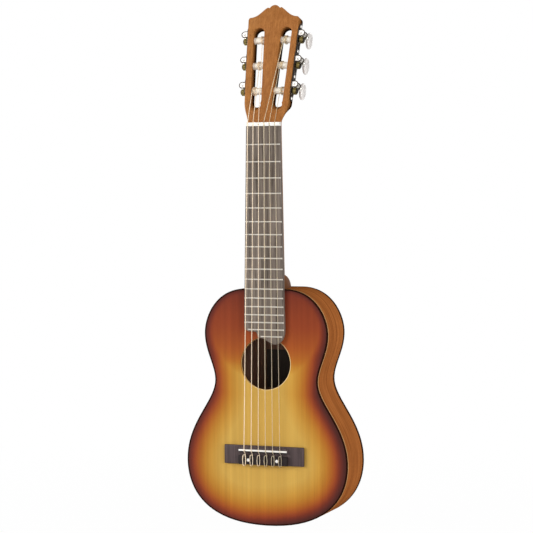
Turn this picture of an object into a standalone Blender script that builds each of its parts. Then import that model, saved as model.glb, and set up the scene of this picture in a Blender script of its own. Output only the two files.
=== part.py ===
"""A six-string guitalele with a slotted headstock, built from its separate pieces.

X runs to the viewer's right, Y from the face into the body, Z up along the strings.
The origin lies on the centre line, in the plane of the soundboard's face, at the edge of the
fingerboard where the nut stands: every length along the strings is counted from there.
Units are metres.
"""

import math

import bmesh
import bpy
from mathutils import Matrix, Vector

# Clearances
SEAT = 0.0003               # gap between two pieces that lie on or in each other
RUN = 0.0003                # gap around what turns
WELD = 0.000005             # points closer than this are one point

# Strings and frets
SCALE_LENGTH = 0.433        # nut edge to the middle of the saddle
FRET_COUNT = 18
JOINT_FRET = 12             # the body starts at this fret
STRING_DIAMETERS = (0.00071, 0.00082, 0.00102, 0.00074, 0.00089, 0.00109)
NUT_SPACING = 0.00768       # between neighbouring strings at the nut
SADDLE_SPACING = 0.01024    # between neighbouring strings at the saddle
STRING_SHIFT = 0.0014       # the set of strings sits this far to the bass side
SADDLE_SHIFT = 0.0024       # and this far at the saddle
STRING_POINT_SIDES = 1      # roundness of the string's tube

# Body outline, half widths and drops below the body's upper edge
BODY_LENGTH = 0.318
NECK_FLAT_HALF = 0.028      # the upper edge is flat this far out, for the heel
UPPER_BOUT_HALF = 0.0878
UPPER_BOUT_DROP = 0.0604
WAIST_HALF = 0.0730
WAIST_DROP = 0.1235
LOWER_BOUT_HALF = 0.1146
LOWER_BOUT_DROP = 0.2330
SHOULDER_PULL = 0.0424      # handle lengths of the curve, from the neck to the end
UPPER_RISE_PULL = 0.0230
UPPER_FALL_PULL = 0.0252
WAIST_RISE_PULL = 0.0192
WAIST_FALL_PULL = 0.0293
LOWER_RISE_PULL = 0.0518
LOWER_FALL_PULL = 0.0316
END_PULL = 0.0982
OUTLINE_STEPS = 8           # points in each of the four stretches of a half outline

# Body walls
BODY_DEPTH = 0.070
TOP_THICKNESS = 0.0025
BACK_THICKNESS = 0.0025
SIDE_THICKNESS = 0.0020
BINDING_WIDTH = 0.0018
LINING_WIDTH = 0.0050       # room kept along the sides for the strips that carry the top and the back
NECK_BLOCK_HALF = 0.0260
NECK_BLOCK_LENGTH = 0.040
END_BLOCK_HALF = 0.0250
END_BLOCK_LENGTH = 0.014
HOLE_RADIUS = 0.035
HOLE_DROP = 0.100           # sound hole centre below the body's upper edge
HOLE_STEPS = 40

# Braces, bridge plate and label
BRACE_WIDTH = 0.006
BRACE_HEIGHT = 0.010
BRACE_END_GAP = 0.002       # between a brace's end and the lining
HOLE_BRACE_GAP = 0.008      # from the sound hole's edge to the bars above and below it
BACK_BRACE_DROPS = (0.068, 0.190)
BRIDGE_PLATE_HALF = 0.052
BRIDGE_PLATE_THICKNESS = 0.002
LABEL_HALF = 0.024
LABEL_LENGTH = 0.052
LABEL_THICKNESS = 0.0003

# Neck and fingerboard
NUT_HALF = 0.024
BOARD_JOINT_HALF = 0.0276   # half width of the fingerboard at the body joint
BOARD_THICKNESS = 0.0055
SHELF_PAST_FRET = 0.0026    # the board's bass corner ends this far past the last fret but one
LOBE_PAST_FRET = 0.0021     # its step ends this far past the last fret
TIP_PAST_FRET = 0.0103      # and its round tip this far
STEP_X = -0.0135            # where the board's end steps down towards the sound hole
LOBE_X = -0.0045
TIP_X = 0.0153
CORNER_PULL = 0.0075
FRET_WIDTH = 0.0020
FRET_HEIGHT = 0.0010
FRET_SEAT = 0.0010          # how deep a fret is set in the board
FRET_END_GAP = 0.0004       # a fret stops this far short of the board's edge
NECK_DEPTH_NUT = 0.0152     # wood behind the plane of the soundboard, at the nut
NECK_DEPTH_BODY = 0.0180
HEEL_RECESS = 0.0040        # the heel ends this far before the body's back
HEEL_LENGTH = 0.0185
HANDLE_SIDE_POWER = 1.5     # roundness of the neck's section: 2 and 2 make an ellipse
HANDLE_BACK_POWER = 2.0
HEEL_SIDE_POWER = 2.0
NECK_SECTION_STEPS = 18

# Nut, saddle and bridge
NUT_THICKNESS = 0.0050
NUT_HEIGHT = 0.0078         # above the plane of the soundboard
NUT_SLOT_DEPTH = 0.0006
SADDLE_HEIGHT = 0.0094
SADDLE_THICKNESS = 0.0025
SADDLE_HALF = 0.0340
SADDLE_SLOT_FLOOR = 0.0028
BRIDGE_HALF = 0.0569
BRIDGE_SHIFT = 0.0021       # the bridge sits this far to the bass side
BRIDGE_FRONT = 0.0062       # from the saddle's middle towards the neck
BRIDGE_TAIL = 0.0194        # from the saddle's middle towards the end
WING_HEIGHT = 0.0040
RIDGE_HEIGHT = 0.0064
RIDGE_TAIL = 0.0030
RIDGE_FRONT = 0.0042
GROOVE_HEIGHT = 0.0036
TIE_FRONT = 0.0070          # the tie block's two faces, from the saddle's middle
TIE_HEIGHT = 0.0086
TIE_HOLE_HEIGHT = 0.0046
TIE_HOLE_RADIUS = 0.0011
TIE_LEAD = 0.0012           # a string runs level this far before its hole
RAISED_HALF = 0.0350        # half length of the ridge and the tie block
BRIDGE_BEVEL = 0.0008
LOOP_HALF = 0.0017          # half the gap between the two strands of a tied loop
BOLT_RADIUS = 0.0015
BOLT_HEAD_RADIUS = 0.0023
BOLT_BORE_DEPTH = 0.0042    # from the tie block's top to the seat of the bolt's head
BOLT_END = 0.0035           # how far the bolt stands past the bridge plate

# Headstock, measured along its face from the nut and back from its face
HEAD_ANGLE = 15.0           # degrees that it leans back
HEAD_THICKNESS = 0.0160
FOOT_RISE = 0.0260          # up to here the headstock's back is carved round, to meet the neck
FOOT_POWER = 1.4
FOOT_LAYERS = (0.3, 0.55, 0.75, 0.9)
HEAD_LOW_HALF = 0.0311      # the straight sides start here
HEAD_LOW_RISE = 0.0300
HEAD_HIGH_HALF = 0.0362     # and end here
HEAD_HIGH_RISE = 0.1430
HEAD_NECK_PULL = 0.0080
HEAD_FLARE_PULL = 0.0140
CORNER_HALF = 0.0330
CORNER_RISE = 0.1475
LOBE_HALF = 0.0099
LOBE_RISE = 0.1612
NOTCH_HALF = 0.0070
NOTCH_RISE = 0.1604
APEX_RISE = 0.1646
SWEEP_PULL_X = 0.0111
SWEEP_PULL_RISE = 0.0039
RAIL_WIDTH = 0.0080         # wood between a slot and the headstock's side
SLOT_WIDTH = 0.0158
SLOT_LOW_RISE = 0.0230
SLOT_HIGH_RISE = 0.1332
RAMP_RUN = 0.0070           # a slot's lower end slopes up to the face over this length,
RAMP_DEPTH = 0.0070         # from this depth, so that the strings clear it

# Tuning machines, in the frame of each roller: out from the headstock's side, up, back
ROLLER_RISES = (0.0451, 0.0808, 0.1165)
ROLLER_RADIUS = 0.00475
ROLLER_SEAT_DEPTH = 0.0055  # how far the roller reaches into the middle rib
SPINDLE_RADIUS = 0.0024
GEAR_TEETH = 14
WORM_PITCH = 0.0020
TOOTH_HEIGHT = 0.0009
TOOTH_ROOT = 0.0009         # tooth width at its foot and at its tip
TOOTH_TIP = 0.0004
GEAR_THICKNESS = 0.0042
WORM_RADIUS = 0.0035        # outside the thread
WORM_LENGTH = 0.0084
THREAD_CREST = 0.0003
THREAD_ROOT = 0.0009
MESH_GAP = 0.0003           # between a tooth's tip and the floor that it runs over
WORM_STEPS = 8
SHAFT_RADIUS = 0.00125
SHAFT_STUB = 0.0006
COLLAR_RADIUS = 0.0040
COLLAR_LENGTH = 0.0036
COLLAR_BACK = 0.0020        # it starts this far behind the headstock's back
PLATE_THICKNESS = 0.0010
PLATE_HALF_WIDTH = 0.0070
PLATE_WAIST_HALF = 0.0054   # the plate is narrower between its machines
PLATE_SWELL = 0.0006        # its waists are this much wider in the middle of the plate
LUG_THICKNESS = 0.0012
LUG_WALL = 0.0030           # around the worm's shaft
LUG_SHIFT = 0.0008          # a lug's round end lies this much higher than the shaft,
LUG_LIFT = 0.0005           # and this much further out
SCREW_RISES = (0.0350, 0.0653, 0.1004, 0.1349)
SCREW_HEAD_RADIUS = 0.0021
SCREW_HEAD_HEIGHT = 0.0012
SCREW_RADIUS = 0.0009
SCREW_LENGTH = 0.0060
PLATE_END_WALL = 0.0042     # from an end screw's middle to the plate's end
BUTTON_LENGTH = 0.0170      # along its shaft
BUTTON_WIDTH = 0.0230
BUTTON_THICKNESS = 0.0072
BUTTON_BACK = 0.0190        # its middle lies this far behind the headstock's back
BUTTON_BORE_DEPTH = 0.0080

# Strings on the rollers
WINDING_TURNS = 2.5
WINDING_POINTS = 16         # in each turn
WINDING_GAP = 0.00050       # between neighbouring turns
ROLLER_TARGETS = (0.0175, 0.0140, 0.0162, -0.0146, -0.0155, -0.0224)
WINDING_WAYS = (1, 1, 1, -1, -1, 1)

# Places that follow from the sizes above
BODY_TOP_Z = -SCALE_LENGTH * (1.0 - 2.0 ** (-JOINT_FRET / 12.0))
BODY_END_Z = BODY_TOP_Z - BODY_LENGTH
HOLE_Z = BODY_TOP_Z - HOLE_DROP
SADDLE_Z = -SCALE_LENGTH
BOARD_BACK_Y = -SEAT
BOARD_FACE_Y = BOARD_BACK_Y - BOARD_THICKNESS
TIE_TAIL = BRIDGE_TAIL - 0.5 * BRIDGE_BEVEL
WORM_AXIS_RISE = GEAR_TEETH * WORM_PITCH / (2.0 * math.pi) + WORM_RADIUS - TOOTH_HEIGHT / 2.0 + MESH_GAP / 2.0
GEAR_TIP_RADIUS = WORM_AXIS_RISE - (WORM_RADIUS - TOOTH_HEIGHT) - MESH_GAP
PLATE_OUT = SEAT
PLATE_FACE = PLATE_OUT + PLATE_THICKNESS
WORM_OUT = PLATE_FACE + WORM_RADIUS + RUN
HEAD_MID = HEAD_THICKNESS / 2.0

# The body's plane: outline x to X, outline y to Z, thickness to -Y
FACE = Matrix(((1, 0, 0, 0), (0, 0, -1, 0), (0, 1, 0, 0), (0, 0, 0, 1)))


def clear_scene():
    """Start from an empty scene."""
    for old in list(bpy.data.objects):
        bpy.data.objects.remove(old, do_unlink=True)
    for old in list(bpy.data.collections):
        bpy.data.collections.remove(old)


def collection(name):
    """Make a collection in the scene."""
    group = bpy.data.collections.new(name)
    bpy.context.scene.collection.children.link(group)
    return group


def material(name, colour, roughness, metallic=0.0):
    """A plain Principled material."""
    made = bpy.data.materials.new(name)
    made.use_nodes = True
    shader = made.node_tree.nodes["Principled BSDF"]
    shader.inputs["Base Color"].default_value = (*colour, 1.0)
    shader.inputs["Roughness"].default_value = roughness
    shader.inputs["Metallic"].default_value = metallic
    return made


def place(name, mesh, matrix, finish):
    """Put a mesh in the guitalele as a piece of its own."""
    piece = bpy.data.objects.new(name, mesh)
    PARTS.objects.link(piece)
    piece.matrix_world = matrix
    if not mesh.materials:
        mesh.materials.append(finish)
    return piece


def guide(name, mesh, matrix):
    """Put a mesh among the cutters, which are not pieces."""
    cutter = bpy.data.objects.new(name, mesh)
    CUTTERS.objects.link(cutter)
    cutter.matrix_world = matrix
    cutter.hide_render = True
    cutter.display_type = "WIRE"
    return cutter


def boolean(piece, cutter, operation):
    """Cut or join a piece with another shape."""
    change = piece.modifiers.new(operation.title(), "BOOLEAN")
    change.operation = operation
    change.object = cutter
    change.solver = "EXACT"


def frozen(name, shape):
    """Turn a shape with its modifiers into a plain mesh and remove the shape."""
    depsgraph = bpy.context.evaluated_depsgraph_get()
    mesh = bpy.data.meshes.new_from_object(shape.evaluated_get(depsgraph))
    mesh.name = name
    bpy.data.objects.remove(shape)
    return tidy(mesh)


def tidy(mesh):
    """Weld loose points, drop faces with no area and turn every face outwards."""
    shape = bmesh.new()
    shape.from_mesh(mesh)
    bmesh.ops.remove_doubles(shape, verts=shape.verts, dist=WELD)
    bmesh.ops.dissolve_degenerate(shape, dist=WELD / 10.0, edges=shape.edges)
    bmesh.ops.recalc_face_normals(shape, faces=shape.faces)
    shape.to_mesh(mesh)
    shape.free()
    return mesh


def rounded(mesh, degrees=35.0):
    """Shade a round mesh smooth, with sharp edges where it turns a corner."""
    mesh.shade_smooth()
    mesh.set_sharp_from_angle(angle=math.radians(degrees))
    return mesh


def join_meshes(name, meshes):
    """One mesh that holds several closed bodies."""
    shape = bmesh.new()
    for mesh in meshes:
        shape.from_mesh(mesh)
    joined = bpy.data.meshes.new(name)
    shape.to_mesh(joined)
    shape.free()
    return joined


def moved(mesh, matrix):
    """The mesh itself, moved by a matrix."""
    mesh.transform(matrix)
    return mesh


def flat(name, loops, thickness):
    """A flat outline with holes, drawn in its own XY plane and thick about it."""
    curve = bpy.data.curves.new(name, "CURVE")
    curve.dimensions = "2D"
    curve.fill_mode = "BOTH"
    curve.extrude = thickness / 2.0
    for loop in loops:
        spline = curve.splines.new("POLY")
        spline.points.add(len(loop) - 1)
        for point, (u, v) in zip(spline.points, loop):
            point.co = (u, v, 0.0, 1.0)
        spline.use_cyclic_u = True
    shape = bpy.data.objects.new(name, curve)
    bpy.context.scene.collection.objects.link(shape)
    return frozen(name, shape)


def turned(name, profile, steps):
    """A profile of (radius, height), given from the top down, turned about Z."""
    mesh = bpy.data.meshes.new(name)
    points = [(radius, 0.0, height) for radius, height in profile]
    mesh.from_pydata(points, [(i, i + 1) for i in range(len(points) - 1)], [])
    shape = bpy.data.objects.new(name, mesh)
    bpy.context.scene.collection.objects.link(shape)
    turn = shape.modifiers.new("Turn", "SCREW")
    turn.steps = steps
    turn.render_steps = steps
    turn.use_merge_vertices = True
    turn.merge_threshold = WELD
    return rounded(frozen(name, shape))


def rod(name, radius, low, high, sides):
    """A cylinder about Z between two heights."""
    return turned(name, [(0.0, high), (radius, high), (radius, low), (0.0, low)], sides)


def tube(name, points, radius, resolution):
    """A round tube with closed ends along a list of points."""
    curve = bpy.data.curves.new(name, "CURVE")
    curve.dimensions = "3D"
    curve.bevel_depth = radius
    curve.bevel_resolution = resolution
    curve.use_fill_caps = True
    spline = curve.splines.new("POLY")
    spline.points.add(len(points) - 1)
    for point, position in zip(spline.points, points):
        point.co = (*position, 1.0)
    shape = bpy.data.objects.new(name, curve)
    bpy.context.scene.collection.objects.link(shape)
    return rounded(frozen(name, shape), 60.0)


def block(name, low, high):
    """A box between two corners."""
    shape = bmesh.new()
    bmesh.ops.create_cube(shape, size=1.0)
    size = Vector(high) - Vector(low)
    middle = (Vector(high) + Vector(low)) / 2.0
    bmesh.ops.scale(shape, vec=size, verts=shape.verts)
    bmesh.ops.translate(shape, vec=middle, verts=shape.verts)
    mesh = bpy.data.meshes.new(name)
    shape.to_mesh(mesh)
    shape.free()
    return mesh


def arc(centre, radius, start, end, steps):
    """Points on an arc, angles in degrees."""
    points = []
    for i in range(steps + 1):
        angle = math.radians(start + (end - start) * i / steps)
        points.append((centre[0] + radius * math.cos(angle), centre[1] + radius * math.sin(angle)))
    return points


def circle(centre, radius, steps):
    """A closed round loop."""
    return arc(centre, radius, 0.0, 360.0, steps)[:-1]


def bore(radius, steps):
    """Corner radius of a many-sided hole that clears a round of this radius."""
    return (radius + RUN) / math.cos(math.pi / steps)


def bezier(start, first, second, end, steps):
    """Points on a cubic curve, without its start."""
    points = []
    for i in range(1, steps + 1):
        t = i / steps
        weights = ((1 - t) ** 3, 3 * (1 - t) ** 2 * t, 3 * (1 - t) * t * t, t ** 3)
        ends = (start, first, second, end)
        points.append(tuple(sum(w * p[axis] for w, p in zip(weights, ends)) for axis in (0, 1)))
    return points


def frame(origin, z_axis, x_axis):
    """A placing matrix from an origin and two of its axes."""
    z_axis = z_axis.normalized()
    x_axis = (x_axis - z_axis * x_axis.dot(z_axis)).normalized()
    y_axis = z_axis.cross(x_axis)
    matrix = Matrix((x_axis, y_axis, z_axis)).transposed().to_4x4()
    matrix.translation = origin
    return matrix


def fret_z(number):
    """Height of a fret below the nut, in equal temperament."""
    return -SCALE_LENGTH * (1.0 - 2.0 ** (-number / 12.0))


# Body outline

def half_outline():
    """The treble half of the body's outline, from the neck down to the end."""
    top = (0.0, BODY_TOP_Z)
    flat_end = (NECK_FLAT_HALF, BODY_TOP_Z)
    upper = (UPPER_BOUT_HALF, BODY_TOP_Z - UPPER_BOUT_DROP)
    waist = (WAIST_HALF, BODY_TOP_Z - WAIST_DROP)
    lower = (LOWER_BOUT_HALF, BODY_TOP_Z - LOWER_BOUT_DROP)
    end = (0.0, BODY_END_Z)
    steps = OUTLINE_STEPS
    points = [top, flat_end]
    points += bezier(flat_end, (flat_end[0] + SHOULDER_PULL, flat_end[1]),
                     (upper[0], upper[1] + UPPER_RISE_PULL), upper, steps)
    points += bezier(upper, (upper[0], upper[1] - UPPER_FALL_PULL),
                     (waist[0], waist[1] + WAIST_RISE_PULL), waist, steps)
    points += bezier(waist, (waist[0], waist[1] - WAIST_FALL_PULL),
                     (lower[0], lower[1] + LOWER_RISE_PULL), lower, steps)
    points += bezier(lower, (lower[0], lower[1] - LOWER_FALL_PULL),
                     (end[0] + END_PULL, end[1]), end, steps + 1)
    return points


def inset_half(inset):
    """The treble half of the outline, moved inwards by an inset."""
    points = half_outline()
    moved_points = []
    for i, (x, z) in enumerate(points):
        if i == 0:
            along = (1.0, 0.0)
        elif i == len(points) - 1:
            along = (-1.0, 0.0)
        else:
            along = (points[i + 1][0] - points[i - 1][0], points[i + 1][1] - points[i - 1][1])
        length = math.hypot(*along)
        moved_points.append((x + along[1] / length * inset, z - along[0] / length * inset))
    return moved_points


def mirrored(points):
    """The same half outline on the bass side, from the end back up to the neck."""
    return [(-x, z) for x, z in reversed(points)]


def outline(inset):
    """The whole closed outline at an inset."""
    half = inset_half(inset)
    return half + mirrored(half)[1:-1]


def half_width(z, inset):
    """Half the body's width at a height, at an inset."""
    points = inset_half(inset)
    for (x0, z0), (x1, z1) in zip(points[1:], points[2:]):
        if z1 <= z <= z0:
            return x0 + (x1 - x0) * (z0 - z) / (z0 - z1)
    return 0.0


def clipped(points, x_top, x_end):
    """The part of a half outline between two distances from the middle, at its two ends."""
    kept = []
    last = len(points) - 1
    widest = max(range(last + 1), key=lambda i: points[i][0])
    for i, (x, z) in enumerate(points):
        limit = x_top if i < widest else x_end
        if x >= limit:
            kept.append((x, z))
            continue
        beside = points[i + 1] if i < widest else points[i - 1]
        if beside[0] > limit:
            share = (limit - x) / (beside[0] - x)
            kept.append((limit, z + (beside[1] - z) * share))
    return kept


def wall(outer_inset, inner_inset, x_top, x_end):
    """A closed loop around a strip that follows the treble half of the outline."""
    outer = clipped(inset_half(outer_inset), x_top, x_end)
    inner = clipped(inset_half(inner_inset), x_top, x_end)
    return outer + inner[::-1]


def slab(name, loops, y_front, y_back, finish):
    """A flat piece of the body between two depths."""
    mesh = flat(name, loops, y_back - y_front)
    return place(name, mesh, Matrix.Translation((0.0, (y_front + y_back) / 2.0, 0.0)) @ FACE, finish)


def flipped(loop):
    """A loop on the other side of the centre line."""
    return [(-x, z) for x, z in loop]


# Body

def bolt_places():
    """The two bolts stand between the outer pairs of strings."""
    z = SADDLE_Z - (TIE_FRONT + TIE_TAIL) / 2.0
    return [(-SADDLE_SHIFT + side * 2.0 * SADDLE_SPACING, z) for side in (-1, 1)]


def make_soundboard():
    loops = [outline(BINDING_WIDTH + SEAT), circle((0.0, HOLE_Z), HOLE_RADIUS, HOLE_STEPS)]
    loops += [circle(spot, bore(BOLT_RADIUS, 8), 8) for spot in bolt_places()]
    return slab("soundboard", loops, 0.0, TOP_THICKNESS, SPRUCE)


def make_back():
    loops = [outline(BINDING_WIDTH + SEAT)]
    return slab("back", loops, BODY_DEPTH - BACK_THICKNESS, BODY_DEPTH, BODY_WOOD)


def make_sides():
    """Two bent sides, meeting in the middle of the neck end and of the tail."""
    front, back = inner_depths()
    loop = wall(0.0, SIDE_THICKNESS, SEAT / 2.0, SEAT / 2.0)
    slab("side_right", [loop], front, back, BODY_WOOD)
    slab("side_left", [flipped(loop)], front, back, BODY_WOOD)


def make_bindings():
    """A ring around the edge of the soundboard and one around the back."""
    loops = [outline(0.0), outline(BINDING_WIDTH)]
    slab("binding_top", loops, 0.0, TOP_THICKNESS, BINDING)
    slab("binding_back", loops, BODY_DEPTH - BACK_THICKNESS, BODY_DEPTH, BINDING)


def inner_depths():
    """Where the inside of the soundboard and of the back leave room for what lies on them."""
    return TOP_THICKNESS + SEAT, BODY_DEPTH - BACK_THICKNESS - SEAT


def make_blocks():
    """The block that holds the neck and the one that joins the sides at the tail."""
    front, back = inner_depths()
    inner = inset_half(SIDE_THICKNESS + SEAT)
    top_z = inner[0][1]
    neck_loop = [(-NECK_BLOCK_HALF, top_z), (NECK_BLOCK_HALF, top_z),
                 (NECK_BLOCK_HALF, top_z - NECK_BLOCK_LENGTH), (-NECK_BLOCK_HALF, top_z - NECK_BLOCK_LENGTH)]
    slab("neck_block", [neck_loop], front, back, INNER_WOOD)
    shoulder = (END_BLOCK_HALF, half_end_z(END_BLOCK_HALF))
    rim = [shoulder] + [(x, z) for x, z in inner if x < END_BLOCK_HALF and z < shoulder[1]]
    edge_z = inner[-1][1] + END_BLOCK_LENGTH
    loop = [(END_BLOCK_HALF, edge_z)] + rim + mirrored(rim)[1:] + [(-END_BLOCK_HALF, edge_z)]
    slab("end_block", [loop], front, back, INNER_WOOD)


def half_end_z(x_limit):
    """Height of the inside of the side near the tail, at a distance from the middle."""
    points = inset_half(SIDE_THICKNESS + SEAT)
    for (x0, z0), (x1, z1) in zip(points[::-1], points[-2::-1]):
        if x0 <= x_limit <= x1:
            return z0 + (z1 - z0) * (x_limit - x0) / (x1 - x0)
    return BODY_END_Z


def make_bar(name, z, y_front, y_back):
    """A brace across the body, which stops short of the linings."""
    inset = SIDE_THICKNESS + SEAT + LINING_WIDTH + BRACE_END_GAP
    reach = BRACE_WIDTH / 2.0
    half = min(half_width(z + reach, inset), half_width(z - reach, inset))
    place(name, block(name, (-half, y_front, -reach), (half, y_back, reach)), Matrix.Translation((0.0, 0.0, z)),
          INNER_WOOD)


def make_braces():
    """Two bars under the soundboard, above and below the hole, and two on the back."""
    front, back = inner_depths()
    reach = HOLE_RADIUS + HOLE_BRACE_GAP + BRACE_WIDTH / 2.0
    make_bar("soundboard_brace_upper", HOLE_Z + reach, front, front + BRACE_HEIGHT)
    make_bar("soundboard_brace_lower", HOLE_Z - reach, front, front + BRACE_HEIGHT)
    for name, drop in zip(("back_brace_upper", "back_brace_lower"), BACK_BRACE_DROPS):
        make_bar(name, BODY_TOP_Z - drop, back - BRACE_HEIGHT, back)


def make_bridge_plate():
    front = inner_depths()[0]
    top_z = SADDLE_Z + BRIDGE_FRONT
    end_z = SADDLE_Z - BRIDGE_TAIL
    left = -BRIDGE_SHIFT - BRIDGE_PLATE_HALF
    right = -BRIDGE_SHIFT + BRIDGE_PLATE_HALF
    loop = [(left, end_z), (right, end_z), (right, top_z), (left, top_z)]
    holes = [circle(spot, bore(BOLT_RADIUS, 8), 8) for spot in bolt_places()]
    slab("bridge_plate", [loop] + holes, front, front + BRIDGE_PLATE_THICKNESS, INNER_WOOD)


def make_label():
    """A paper label on the inside of the back, seen through the sound hole."""
    back = inner_depths()[1]
    z = HOLE_Z - LABEL_LENGTH / 4.0
    loop = [(-LABEL_HALF, z - LABEL_LENGTH / 2.0), (LABEL_HALF, z - LABEL_LENGTH / 2.0),
            (LABEL_HALF, z + LABEL_LENGTH / 2.0), (-LABEL_HALF, z + LABEL_LENGTH / 2.0)]
    slab("label", [loop], back - LABEL_THICKNESS, back, PAPER)


# Headstock

def lean():
    """Directions of the headstock: up along its face and back through it."""
    angle = math.radians(HEAD_ANGLE)
    up = Vector((0.0, math.sin(angle), math.cos(angle)))
    back = Vector((0.0, math.cos(angle), -math.sin(angle)))
    return up, back


def head_point(x, rise, depth):
    """A point of the headstock in world coordinates."""
    up, back = lean()
    return Vector((x, 0.0, NUT_THICKNESS)) + up * rise + back * depth


def head_side(rise):
    """Half width of the headstock on its straight side."""
    share = (rise - HEAD_LOW_RISE) / (HEAD_HIGH_RISE - HEAD_LOW_RISE)
    return HEAD_LOW_HALF + (HEAD_HIGH_HALF - HEAD_LOW_HALF) * share


def side_angle():
    """How far the straight side leans out from the headstock's middle line."""
    return math.atan2(HEAD_HIGH_HALF - HEAD_LOW_HALF, HEAD_HIGH_RISE - HEAD_LOW_RISE)


def head_outline():
    """The headstock's face, with its waisted foot and its lobed crest."""
    foot = (NUT_HALF, 0.0)
    low = (HEAD_LOW_HALF, HEAD_LOW_RISE)
    high = (HEAD_HIGH_HALF, HEAD_HIGH_RISE)
    corner = (CORNER_HALF, CORNER_RISE)
    lobe = (LOBE_HALF, LOBE_RISE)
    notch = (NOTCH_HALF, NOTCH_RISE)
    apex = (0.0, APEX_RISE)
    tilt = math.tan(side_angle())
    half = [foot]
    half += bezier(foot, (foot[0], foot[1] + HEAD_NECK_PULL),
                   (low[0] - tilt * HEAD_FLARE_PULL, low[1] - HEAD_FLARE_PULL), low, 6)
    half.append(high)
    half += bezier(high, (high[0], corner[1] - (corner[1] - high[1]) / 3.0),
                   (high[0] - (high[0] - corner[0]) / 3.0, corner[1]), corner, 2)
    half += bezier(corner, (corner[0] - SWEEP_PULL_X, corner[1] + SWEEP_PULL_RISE / 5.0),
                   (lobe[0] + SWEEP_PULL_X * 0.64, lobe[1] - SWEEP_PULL_RISE), lobe, 7)
    half.append(notch)
    half += bezier(notch, (notch[0] * 0.86, notch[1] + (apex[1] - notch[1]) * 0.5),
                   (notch[0] * 0.45, apex[1]), apex, 4)
    return half + mirrored(half)[1:]


def slot_outline(side):
    """One of the two long slots, round at both ends and in line with the headstock's side."""
    angle = side_angle()
    radius = SLOT_WIDTH / 2.0
    offset = (RAIL_WIDTH + radius) / math.cos(angle)
    turn = 90.0 - math.degrees(angle)
    low_rise = SLOT_LOW_RISE + radius
    high_rise = SLOT_HIGH_RISE - radius
    low = (head_side(low_rise) - offset, low_rise)
    high = (head_side(high_rise) - offset, high_rise)
    loop = arc(high, radius, turn - 90.0, turn + 90.0, 10)
    loop += arc(low, radius, turn + 90.0, turn + 270.0, 10)
    return [(side * x, rise) for x, rise in loop]


def tuner_frame(side, rise):
    """Origin and directions at a roller: on the headstock's side, out, up and back."""
    up, back = lean()
    angle = side_angle()
    across = Vector((side, 0.0, 0.0))
    out = across * math.cos(angle) - up * math.sin(angle)
    along = up * math.cos(angle) + across * math.sin(angle)
    return head_point(side * head_side(rise), rise, HEAD_MID), out, along, back


def carved_foot(mesh):
    """Round the back of the headstock's foot down to the neck's section.

    The board lies around the XY plane, with its face at +Z and the joint with the neck at Y 0.
    """
    shape = bmesh.new()
    shape.from_mesh(mesh)
    for share in FOOT_LAYERS:
        everything = list(shape.verts) + list(shape.edges) + list(shape.faces)
        level = HEAD_THICKNESS * (0.5 - share)
        bmesh.ops.bisect_plane(shape, geom=everything, dist=WELD / 10.0, plane_co=(0.0, 0.0, level),
                               plane_no=(0.0, 0.0, 1.0))
    for point in shape.verts:
        sine = min(max(0.5 - point.co.z / HEAD_THICKNESS, 0.0), 1.0) ** (HANDLE_BACK_POWER / 2.0)
        width = math.sqrt(1.0 - sine * sine) ** (2.0 / HANDLE_SIDE_POWER)
        carving = max(1.0 - point.co.y / FOOT_RISE, 0.0) ** FOOT_POWER
        point.co.x *= 1.0 - carving * (1.0 - width)
    shape.to_mesh(mesh)
    shape.free()
    return tidy(mesh)


def string_ramp(side):
    """A slanting cutter, in the board's frame, that opens a slot's lower end towards the nut."""
    radius = SLOT_WIDTH / 2.0
    rise = SLOT_LOW_RISE + radius
    middle = head_side(rise) - (RAIL_WIDTH + radius) / math.cos(side_angle())
    tall = RAMP_DEPTH + RUN
    slant = Matrix.Identity(4)
    slant[1][2] = -RAMP_RUN / RAMP_DEPTH
    mesh = flat("string_ramp", [circle((side * middle, rise), radius - RUN, 20)], tall)
    moved(mesh, slant @ Matrix.Translation((0.0, 0.0, tall / 2.0)))
    return moved(mesh, Matrix.Translation((0.0, 0.0, HEAD_THICKNESS / 2.0 - RAMP_DEPTH)))


def make_headstock():
    loops = [head_outline(), slot_outline(1), slot_outline(-1)]
    mesh = carved_foot(flat("headstock", loops, HEAD_THICKNESS))
    up, back = lean()
    board = frame(head_point(0.0, 0.0, HEAD_MID), -back, Vector((1.0, 0.0, 0.0)))
    head = place("headstock", mesh, board, NECK_WOOD)
    holes = [moved(string_ramp(side), board) for side in (-1, 1)]
    reach = RAIL_WIDTH + SLOT_WIDTH + ROLLER_SEAT_DEPTH + RUN
    for side in (-1, 1):
        for rise in ROLLER_RISES:
            origin, out, along, back = tuner_frame(side, rise)
            hole = rod("roller_hole", bore(ROLLER_RADIUS, 12), -reach, SLOT_WIDTH, 12)
            holes.append(moved(hole, frame(origin, out, back)))
        for rise in SCREW_RISES:
            origin, out, along, back = tuner_frame(side, rise)
            hole = rod("screw_hole", bore(SCREW_RADIUS, 6), -SCREW_LENGTH - RUN, SLOT_WIDTH, 6)
            holes.append(moved(hole, frame(origin, out, back)))
    cutter = guide("headstock_holes", join_meshes("headstock_holes", holes), Matrix.Identity(4))
    boolean(head, cutter, "DIFFERENCE")
    return head


# Neck, fingerboard, frets and nut

def heel_swell(z, joint_z):
    """How far the neck's section has grown into the heel: 1 at the body, 0 above the heel."""
    share = min(max((z - joint_z) / HEEL_LENGTH, 0.0), 1.0)
    return math.sqrt(1.0 - share * share)


def neck_section(half, depth, side_power, back_power):
    """Points of a D-shaped section, from the treble edge round the back to the bass edge."""
    points = []
    for i in range(NECK_SECTION_STEPS + 1):
        angle = math.pi * i / NECK_SECTION_STEPS
        across = abs(math.cos(angle)) ** (2.0 / side_power)
        away = abs(math.sin(angle)) ** (2.0 / back_power)
        points.append((half * math.copysign(across, math.cos(angle)), depth * away))
    return points


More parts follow.
